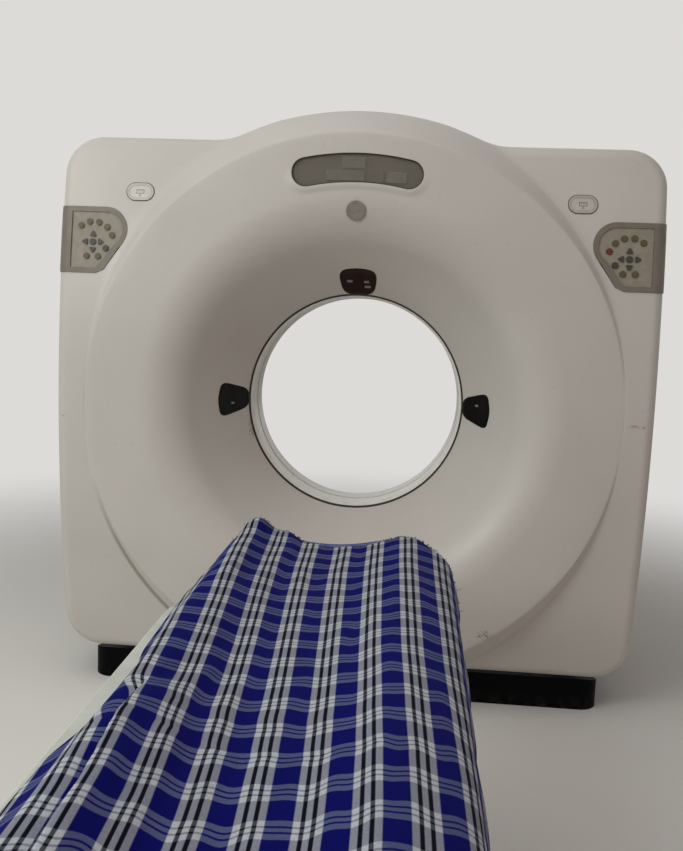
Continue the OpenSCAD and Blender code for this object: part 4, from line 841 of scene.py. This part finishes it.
def vinyl_pad():
    """Closed form over a rounded plan: upper and lower face meet in a rolled edge with a welded bead."""
    edge = np.array([0, 0.0004, 0.0012, 0.0025, 0.0042, 0.006, 0.008, 0.010, 0.0115, 0.013, 0.0145, 0.017, 0.022,
                     0.03])
    flat = np.linspace(-PAD_HALF_L + 0.045, PAD_HALF_L - 0.045, 140)
    v = np.concatenate([edge - PAD_HALF_L, flat, PAD_HALF_L - edge[::-1]])
    flat = np.linspace(-PAD_HALF_W + 0.042, PAD_HALF_W - 0.042, 22)
    u = np.concatenate([edge - PAD_HALF_W, flat, PAD_HALF_W - edge[::-1]]) / PAD_HALF_W
    from_end = np.clip(PAD_HALF_L - np.abs(v), 0, PAD_CORNER)
    width = PAD_HALF_W - PAD_CORNER + np.sqrt(PAD_CORNER**2 - (PAD_CORNER - from_end)**2)
    x, y = u[None] * width[:, None], v[:, None] + 0 * u[None]
    away_x, away_y = np.abs(x) - (PAD_HALF_W - PAD_CORNER), np.abs(y) - (PAD_HALF_L - PAD_CORNER)
    inside = (PAD_CORNER - np.hypot(np.maximum(away_x, 0), np.maximum(away_y, 0))
              - np.minimum(np.maximum(away_x, away_y), 0))
    roll = np.sqrt(np.clip(1 - (1 - np.clip(inside / PAD_ROLL, 0, 1))**2, 0, 1))
    bead = BEAD_SHARE * np.exp(-((inside - BEAD_IN) / BEAD_WIDTH)**2)
    y = y + TIP_Y - CRADLE_LEN / 2
    floor_z = HOLLOW_Z + PAD_LIFT - np.sqrt(HOLLOW_R**2 - x**2)
    top = floor_z + PAD_FOAM * (0.5 + 0.5 * roll - bead)
    under = floor_z + PAD_FOAM * (0.5 - 0.5 * roll)
    rows, columns = x.shape
    index = np.arange(rows * columns).reshape(rows, columns)
    border = np.zeros((rows, columns), bool)
    border[[0, -1]] = True
    border[:, [0, -1]] = True
    below = np.where(border, index, index + rows * columns)
    faces = [np.stack([grid[:-1, :-1], grid[:-1, 1:], grid[1:, 1:], grid[1:, :-1]], -1).reshape(-1, 4)
             for grid in (index, below[:, ::-1])]
    points = np.concatenate([np.stack([x, y, level], -1).reshape(-1, 3) for level in (top, under)])
    made = mesh_object("vinyl_pad", points, np.concatenate(faces), vinyl())
    # The lower face shares the border's points, so its own are left over.
    work = bmesh.new()
    work.from_mesh(made.data)
    bmesh.ops.delete(work, geom=[point for point in work.verts if not point.link_faces], context="VERTS")
    work.to_mesh(made.data)
    work.free()
    turn_outwards(made.data)
    return made


pad = vinyl_pad()
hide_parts("cradle_pad")
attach(pad, "cradle")

# ---------------------------------------------------------------- plaid cloth
# A thin cotton cloth, yarn-dyed in blue, white and black, spread over the pad and the table's right
# side. Its far end is an unhemmed, fraying edge. Nothing holds it: it lies by its own weight, with
# a pleat along the left and soft wrinkles from being pulled straight.
CLOTH_T = 0.0016
CLEAR = 0.0022
PAD_EDGE_X = 0.171
FAR_Y, NEAR_Y = -0.93, -2.924
# Ten places along the table: y, the left hem's x and z, the pleat's share, its ridge's x, a white stripe's
# distance from the middle, and the plaid's repeat.
CLOTH_ROWS = np.array([
    (-0.860, -0.246, 0.661, 0.00, -0.200, 0.037, 0.0840),
    (-1.150, -0.247, 0.661, 0.00, -0.200, 0.046, 0.0815),
    (-1.404, -0.257, 0.657, 0.00, -0.200, 0.058, 0.0785),
    (-1.670, -0.249, 0.657, 0.00, -0.203, 0.073, 0.0745),
    (-1.830, -0.226, 0.657, 0.25, -0.200, 0.083, 0.0730),
    (-1.950, -0.242, 0.657, 0.85, -0.190, 0.090, 0.0720),
    (-2.030, -0.259, 0.657, 1.00, -0.184, 0.095, 0.0713),
    (-2.200, -0.262, 0.657, 1.00, -0.170, 0.104, 0.0695),
    (-2.500, -0.264, 0.657, 1.00, -0.165, 0.113, 0.0680),
    (-2.924, -0.266, 0.657, 1.00, -0.160, 0.120, 0.0670)])
# The far edge: its y at distances along the cloth from the table's middle.
FAR_EDGE = np.array([
    (-0.33, -0.990), (-0.30, -0.975), (-0.215, -0.868), (-0.155, -0.862), (-0.10, -0.888), (0.0, -0.932),
    (0.10, -0.926), (0.18, -0.905), (0.23, -0.925), (0.28, -0.975), (0.33, -1.035), (0.45, -1.070)])
# Humps near the far edge: height, middle and spread along x, middle and spread along y.
HUMPS = [(0.017, -0.185, 0.030, -0.875, 0.055), (0.008, -0.105, 0.022, -0.90, 0.05),
         (0.004, 0.235, 0.025, -0.95, 0.08)]
WEFT_REPEAT, WEFT_SLANT = 0.085, 0.12


def pad_top(x):
    """Height of the pad's upper face, a circle one pad's thickness above the cradle's hollow."""
    return HOLLOW_Z + PAD_T - np.sqrt(HOLLOW_R**2 - np.clip(x, -0.3, 0.3)**2)


def ripples(x, y, seed, grain, stretch):
    """Smooth unevenness about 0.5 from seven crossed sine waves, grain apart and longer along y."""
    rng = np.random.default_rng(seed)
    total = 0.0
    for _ in range(7):
        turn = rng.uniform(-0.5, 0.5)
        size = grain * rng.uniform(0.7, 1.5)
        phase = rng.uniform(0, 2 * np.pi)
        bend = 0.8 * np.sin(2 * np.pi * y / (size * stretch * 1.7) + phase * 2)
        wave = (x * math.cos(turn)) / size + (y * math.sin(turn)) / (size * stretch)
        total = total + np.sin(2 * np.pi * wave + phase + bend)
    return 0.5 + total / 14 * 1.6


def cloth_path(y):
    """Places across the cloth at y, from the left hem to the right one: x and z, densely and evenly spaced.

    A few control points, those on the left blended from plain to pleated, then three rounds of
    cutting each corner at a quarter of its sides.
    """
    hem_x, hem_z, pleat, ridge = [np.interp(-y, -CLOTH_ROWS[:, 0], CLOTH_ROWS[:, k]) for k in (1, 2, 3, 4)]
    rim_z = RIM_Z + CLEAR + 0.0022

    def on_pad(x, up=0.0):
        """A point just above the pad, or level with its edge beyond it."""
        return x, float(pad_top(min(abs(x), PAD_EDGE_X))) + CLEAR + up

    fall = [(hem_x, hem_z), (0.55 * hem_x - 0.45 * 0.219, 0.5 * hem_z + 0.5 * rim_z - 0.006),
            (-0.219, rim_z - 0.004), (-0.208, rim_z + 0.0012)]
    lift = 0.016 * pleat
    plain = [(-0.190, rim_z + 0.0014), (-0.176, rim_z - 0.0004), on_pad(-0.15, 0.0008), on_pad(-0.13),
             on_pad(-0.11), on_pad(-0.085)]
    folded = [on_pad(ridge + 0.012, 0.001), on_pad(ridge + 0.017, 0.0055), on_pad(ridge + 0.001, 0.013),
              on_pad(ridge + 0.003, lift + 0.002), on_pad(ridge + 0.03, lift + 0.003),
              on_pad(ridge + 0.085, lift * 0.35)]
    left = [tuple((1 - pleat) * np.array(a) + pleat * np.array(b)) for a, b in zip(plain, folded)]
    raised = 0.002 * smooth(-1.30, -1.50, y)
    right = [on_pad(-0.04), on_pad(0.0), on_pad(0.05), on_pad(0.10), on_pad(0.15, 0.001),
             (0.178, rim_z + 0.0011), (0.19, rim_z + 0.0016), (0.213, rim_z + 0.001), (0.232, rim_z - 0.004),
             (0.262, 0.679 + raised), (0.292, 0.669), (0.3065, 0.655), (0.3135, 0.625), (0.3215, 0.590),
             (0.3275, 0.556)]
    line = np.array(fall + left + right)
    for _ in range(3):
        quarter, three = 0.75 * line[:-1] + 0.25 * line[1:], 0.25 * line[:-1] + 0.75 * line[1:]
        line = np.concatenate([line[:1], np.stack([quarter, three], 1).reshape(-1, 2), line[-1:]])
    return line


def cloth_grid(rows=262, columns=150):
    """The cloth's mid-surface: places and weave coordinates on a grid."""
    along = np.linspace(0, 1, rows)
    points = np.empty((rows, columns, 3))
    weave = np.empty((rows, columns, 2))
    for i in range(rows):
        mean_y = FAR_Y + along[i] * (NEAR_Y - FAR_Y)
        line = cloth_path(mean_y)
        run = np.concatenate([[0], np.cumsum(np.hypot(*np.diff(line, axis=0).T))])
        place = np.linspace(0, run[-1], columns)
        x, z = np.interp(place, run, line[:, 0]), np.interp(place, run, line[:, 1])
        # The plaid is measured from where the path crosses the middle of the table.
        last = np.nonzero(line[:, 0] < 0)[0][-1]
        from_middle = place - np.interp(0, line[last:last + 2, 0], run[last:last + 2])
        far_y = np.interp(from_middle, *FAR_EDGE.T)
        y = far_y + along[i] * (NEAR_Y - far_y)
        stripe, repeat = [np.interp(-mean_y, -CLOTH_ROWS[:, 0], CLOTH_ROWS[:, k]) for k in (5, 6)]
        points[i] = np.stack([x, y, z], -1)
        drawn = 0.14 * (ripples(x, y, 21, 0.06, 3.0) - 0.5) + 0.10 * (ripples(x, y, 23, 0.15, 1.4) - 0.5)
        weave[i] = np.stack([(from_middle - stripe) / repeat, (y - WEFT_SLANT * x) / WEFT_REPEAT + drawn], -1)
    # Evenness along y: each column's path differs little between rows, so a light smoothing joins them.
    for _ in range(6):
        points[1:-1, :, 0::2] = 0.5 * points[1:-1, :, 0::2] + 0.25 * (points[:-2, :, 0::2] + points[2:, :, 0::2])
    x, y = points[..., 0], points[..., 1]
    left = smooth(0.10, -0.12, x)
    amount = 0.0012 + 0.0052 * left * smooth(-0.245, -0.20, x) + 0.0030 * smooth(0.16, 0.0, np.abs(x))
    height = (amount * np.clip(ripples(x, y, 5, 0.10, 2.6), 0, 1.2)
              + 0.0035 * left * np.clip(ripples(x, y, 11, 0.055, 3.2) - 0.45, 0, 1))
    # Across the pull the cloth sags a little between its stripes.
    height += 0.0018 * (0.5 + 0.5 * np.sin(2 * np.pi * weave[..., 0] + 0.6)) * smooth(0.3, 0.12, np.abs(x))
    hump = sum(top * np.exp(-((x - at_x) / wide)**2 - ((y - at_y) / long)**2)
               for top, at_x, wide, at_y, long in HUMPS)
    side = smooth(0.29, 0.312, x)
    points[..., 2] += (height + hump) * (1 - side)
    drop = smooth(0.66, 0.57, points[..., 2]) * side
    points[..., 0] += side * 0.004 * drop * np.sin(2 * np.pi * y / 0.31 + 1.1) * np.sin(2 * np.pi * y / 0.83)
    return points, weave


def cloth_normals(points):
    """Unit normals of the cloth's mid-surface: towards its near end, crossed with rightwards, so they point up."""
    across, along = np.gradient(points, axis=1), np.gradient(points, axis=0)
    normal = np.cross(along, across)
    return normal / np.maximum(np.linalg.norm(normal, axis=2, keepdims=True), 1e-12)


def stripes(material, coordinate, stops):
    """Colour ramp of the distance from the nearest stripe's middle, as a share of the repeat."""
    moved = add(material, "ShaderNodeMath", {"operation": "ADD"}, {0: coordinate, 1: 0.5})
    share = add(material, "ShaderNodeMath", {"operation": "FRACT"}, {0: moved})
    beside = add(material, "ShaderNodeMath", {"operation": "SUBTRACT"}, {0: share, 1: 0.5})
    ramp = add(material, "ShaderNodeValToRGB", sockets={
        "Fac": add(material, "ShaderNodeMath", {"operation": "ABSOLUTE"}, {0: beside})})
    elements = ramp.color_ramp.elements
    while len(elements) > 1:
        elements.remove(elements[-1])
    for number, (at, colour) in enumerate(stops):
        stop = elements[0] if number == 0 else elements.new(at)
        stop.position = at
        stop.color = linear(colour)
    return ramp


def plaid_cotton():
    """Yarn-dyed plain weave, soft and matt: its blue shows darker and paler where the yarns are uneven.

    Real threads are 0.3 mm apart, too fine to show, so the weave's bump is drawn about 1 mm apart.
    """
    material, _ = new_material("yarn_dyed_cotton")
    weave = add(material, "ShaderNodeUVMap", {"uv_map": "weave"})
    parts = add(material, "ShaderNodeSeparateXYZ", sockets={"Vector": weave}).outputs
    # Each warp stripe has two tones: where blue weft crosses it, and where white weft does.
    by_weft = []
    for blue, white, black in (("05086a", "9c9fae", "05060c"), ("5d648f", "d4d8df", "50545e")):
        by_weft.append(stripes(material, parts["X"], [
            (0.0, white), (0.046, white), (0.062, black), (0.126, black), (0.142, white), (0.250, white),
            (0.272, blue)]))
    white_weft = stripes(material, parts["Y"], [
        (0.0, "ffffff"), (0.038, "ffffff"), (0.052, "303030"), (0.088, "303030"), (0.102, "ffffff"),
        (0.220, "ffffff"), (0.240, "000000")])
    plaid = add(material, "ShaderNodeMix", COLOURS, {
        0: add(material, "ShaderNodeSeparateColor", sockets={"Color": white_weft}), 6: by_weft[0], 7: by_weft[1]})
    slubs, picks = [add(material, "ShaderNodeTexNoise", sockets={
        "Vector": add(material, "ShaderNodeMapping", sockets={"Vector": weave, "Scale": scale}),
        "Scale": 1.0, "Detail": 2.0}) for scale in ((84.0, 12.0, 1.0), (12.0, 84.0, 1.0))]
    uneven = add(material, "ShaderNodeMapRange", sockets={
        "Value": add(material, "ShaderNodeMath", PRODUCT, {0: slubs, 1: picks}),
        "From Min": 0.12, "From Max": 0.40, "To Min": 0.30, "To Max": 0.0})
    warp, weft = [add(material, "ShaderNodeMath", {"operation": "SINE"}, {
        0: add(material, "ShaderNodeMath", PRODUCT, {0: part, 1: 520.0})}) for part in (parts["X"], parts["Y"])]
    threads = add(material, "ShaderNodeBump", sockets={
        "Height": add(material, "ShaderNodeMath", {"operation": "ADD"}, {0: warp, 1: weft}),
        "Strength": 0.25, "Distance": 0.0003})
    return finish_material(material, {
        "Base Color": add(material, "ShaderNodeMix", COLOURS, {0: uneven, 6: plaid, 7: "08092c"}),
        "Roughness": 0.85, "Sheen Weight": 0.02, "Sheen Roughness": 0.5, "Specular IOR Level": 0.04,
        "Normal": add(material, "ShaderNodeBump", sockets={
            "Height": slubs, "Normal": threads, "Strength": 0.3, "Distance": 0.0008})})


cloth_middle, weave = cloth_grid()
cloth_normal = cloth_normals(cloth_middle)
rows, columns = weave.shape[:2]
upper = np.arange(rows * columns).reshape(rows, columns)
lower = upper + rows * columns
faces = [np.stack([upper[:-1, :-1], upper[1:, :-1], upper[1:, 1:], upper[:-1, 1:]], -1).reshape(-1, 4),
         np.stack([lower[:-1, :-1], lower[:-1, 1:], lower[1:, 1:], lower[1:, :-1]], -1).reshape(-1, 4)]
for top, low in ((upper[0], lower[0]), (upper[-1][::-1], lower[-1][::-1]),
                 (upper[:, 0][::-1], lower[:, 0][::-1]), (upper[:, -1], lower[:, -1])):
    faces.append(np.stack([top[:-1], top[1:], low[1:], low[:-1]], -1))
both_faces = np.stack([cloth_middle + cloth_normal * CLOTH_T / 2, cloth_middle - cloth_normal * CLOTH_T / 2])
cloth = mesh_object("plaid_cotton_cloth", both_faces, np.concatenate(faces), plaid_cotton(), True,
                    np.stack([weave, weave]))
turn_outwards(cloth.data)

# ---------------------------------------------------------------- cloth fringe
# Loose ends of the cotton's blue and white warp threads at the cloth's far, unhemmed edge. They are
# 4 to 10 mm long and bend a little sideways and up, each its own way. Wear drew them out of the weave.
THREADS, THREAD_R = 480, 0.0008
THREAD_RINGS, THREAD_SIDES = 5, 4
PALE_SHARE = 0.27


def fringe_threads():
    """Points, faces and colour number of all threads: four-sided tubes along bent lines from the cloth's edge."""
    rng = np.random.default_rng(3)
    column = np.sort(rng.uniform(1, columns - 2, THREADS))
    low = np.floor(column).astype(int)
    start = cloth_middle[0, low] + (column - low)[:, None] * (cloth_middle[0, low + 1] - cloth_middle[0, low])
    ahead = cloth_middle[0, low] - cloth_middle[2, low]
    ahead /= np.linalg.norm(ahead, axis=1, keepdims=True)
    ahead[:, 2] = np.clip(ahead[:, 2], -0.2, 0.3)
    length = rng.uniform(0.004, 0.010, THREADS)
    sway = np.stack([rng.normal(0, 0.55, THREADS), np.zeros(THREADS), rng.uniform(0.0, 0.35, THREADS)], -1)
    steps = np.linspace(0, 1, THREAD_RINGS)
    spine = (start[:, None] - ahead[:, None] * 0.002 + ahead[:, None] * (length[:, None] * steps)[..., None]
             + sway[:, None] * (length[:, None] * steps**2)[..., None])
    lengthways = np.gradient(spine, axis=1)
    lengthways /= np.linalg.norm(lengthways, axis=2, keepdims=True)
    first = np.cross(lengthways, np.array([0.3, 0.1, 1.0]))
    first /= np.linalg.norm(first, axis=2, keepdims=True)
    second = np.cross(lengthways, first)
    angle = np.radians([0, 90, 180, 270])
    ring = first[:, :, None] * np.cos(angle)[:, None] + second[:, :, None] * np.sin(angle)[:, None]
    points = (spine[:, :, None] + THREAD_R * ring).reshape(-1, 3)
    thread = np.arange(THREADS)[:, None, None] * THREAD_RINGS * THREAD_SIDES
    ring_start = thread + np.arange(THREAD_RINGS - 1)[None, :, None] * THREAD_SIDES
    k = np.arange(THREAD_SIDES)[None, None, :]
    k2 = (k + 1) % THREAD_SIDES
    sides = np.stack([ring_start + k, ring_start + k2, ring_start + THREAD_SIDES + k2,
                      ring_start + THREAD_SIDES + k], -1).reshape(-1, 4)
    last_ring = (THREAD_RINGS - 1) * THREAD_SIDES
    ends = np.concatenate([thread[:, 0] + np.array([[3, 2, 1, 0]]),
                           thread[:, 0] + last_ring + np.array([[0, 1, 2, 3]])])
    pale = np.abs((weave[0, low, 0] + 0.5) % 1 - 0.5) < PALE_SHARE
    kind = np.concatenate([np.repeat(pale, last_ring), pale, pale]).astype(np.int32)
    return points, np.concatenate([sides, ends]), kind


def cotton_thread(name, colour):
    """Spun cotton yarn: matt, its colour broken by grey every few millimetres."""
    material, place = new_material(name)
    return finish_material(material, {
        "Base Color": mottled(material, place, 4, 0.3, colour, "3a3d4a"), "Roughness": 0.9})


thread_points, thread_faces, thread_kind = fringe_threads()
fringe = mesh_object("cloth_fringe", thread_points, thread_faces, cotton_thread("blue_cotton_thread", "0e1230"))
fringe.data.materials.append(cotton_thread("white_cotton_thread", "b9bcc4"))
fringe.data.polygons.foreach_set("material_index", thread_kind)
turn_outwards(fringe.data)
for piece in (cloth, fringe):
    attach(piece, "cradle")
    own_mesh(piece)
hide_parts("plaid_cloth")

# ---------------------------------------------------------------- camera, light and floor
# The camera stands where the photograph was taken from, a little to the right of the table. Three
# soft boxes and an even sky light the object over a plain pale floor that fades into the backdrop.
CAMERA_PLACE = (0.2006, -3.1665, 1.2608)
CAMERA_YAW, CAMERA_PITCH, CAMERA_ROLL = math.radians(4.53), math.radians(-7.27), -0.0385
FOCAL_PX, LONG_SIDE_PX, SENSOR_MM = 911.9, 851, 36
BACKDROP, FLOOR, AMBIENT, AMBIENT_STRENGTH = "dddbd8", "f2f0ec", "f4f1ee", 0.23
FLOOR_HALF = 14
# Each soft box: its place and target, size, watts and colour.
SOFT_BOXES = {"key_softbox": ((-2.4, -3.2, 2.8), (-0.3, -0.4, 1.1), (2.2, 1.8), 61, "fbfffa"),
              "fill_softbox": ((2.8, -3.9, 1.7), (0.2, -0.4, 1.0), (2.2, 2.2), 7, "f2b8aa"),
              "top_softbox": ((-0.9, -1.6, 4.6), (-0.2, -0.9, 0), (4.0, 4.0), 38, "fffdfa")}
camera = put_in_scene("camera", bpy.data.cameras.new("camera"))
camera.data.sensor_width = SENSOR_MM
camera.data.lens = SENSOR_MM * FOCAL_PX / LONG_SIDE_PX
turned = (Matrix.Rotation(CAMERA_YAW, 4, "Z") @ Matrix.Rotation(CAMERA_PITCH, 4, "X")
          @ Matrix.Rotation(CAMERA_ROLL, 4, "Y") @ Matrix.Rotation(math.radians(90), 4, "X"))
camera.matrix_world = Matrix.Translation(CAMERA_PLACE) @ turned
bpy.context.scene.camera = camera


def pale_floor():
    """A plain pale floor that keeps the object's shadow and fades into the backdrop far away."""
    material, place = new_material("pale_studio_floor")
    far = add(material, "ShaderNodeMapRange", SMOOTH_STEP, {
        "Value": add(material, "ShaderNodeVectorMath", {"operation": "LENGTH"}, {0: place}),
        "From Min": 1.3, "From Max": 4.2})
    seen = add(material, "ShaderNodeMath", PRODUCT, {
        0: far, 1: add(material, "ShaderNodeLightPath").outputs["Is Camera Ray"]})
    return finish_material(material, {
        0: seen, 1: add(material, "ShaderNodeBsdfDiffuse", sockets={"Color": FLOOR}),
        2: add(material, "ShaderNodeEmission", sockets={"Color": BACKDROP})}, "ShaderNodeMixShader")


def studio_sky(world):
    """Even light on the object, and the backdrop's plain tone where the camera, gloss or glass sees past it."""
    rays = add(world, "ShaderNodeLightPath").outputs
    greater = {"operation": "MAXIMUM"}
    through = add(world, "ShaderNodeMath", greater, {0: rays["Is Glossy Ray"], 1: rays["Is Transmission Ray"]})
    mixed = add(world, "ShaderNodeMixShader", sockets={
        0: add(world, "ShaderNodeMath", greater, {0: rays["Is Camera Ray"], 1: through}),
        1: add(world, "ShaderNodeBackground", sockets={"Color": AMBIENT, "Strength": AMBIENT_STRENGTH}),
        2: add(world, "ShaderNodeBackground", sockets={"Color": BACKDROP, "Strength": 1.0})})
    add(world, "ShaderNodeOutputWorld", sockets={"Surface": mixed})


floor_mesh = bpy.data.meshes.new("floor")
floor_mesh.from_pydata([(-FLOOR_HALF, -FLOOR_HALF, 0), (FLOOR_HALF, -FLOOR_HALF, 0), (FLOOR_HALF, FLOOR_HALF, 0),
                        (-FLOOR_HALF, FLOOR_HALF, 0)], [], [(0, 1, 2, 3)])
floor_mesh.materials.append(pale_floor())
put_in_scene("floor", floor_mesh)
studio = bpy.data.worlds.new("studio")
bpy.context.scene.world = studio
studio.use_nodes = True
studio.node_tree.nodes.clear()
studio_sky(studio)
for name, (place, target, size, watts, colour) in SOFT_BOXES.items():
    lamp = bpy.data.lights.new(name, "AREA")
    lamp.shape = "RECTANGLE"
    lamp.size, lamp.size_y = size
    lamp.energy = watts
    lamp.color = linear(colour)[:3]
    towards = Vector(np.array(target) - np.array(place)).to_track_quat("-Z", "Y").to_matrix().to_4x4()
    put_in_scene(name, lamp).matrix_world = Matrix.Translation(place) @ towards
bpy.context.scene.view_settings.view_transform = "Standard"
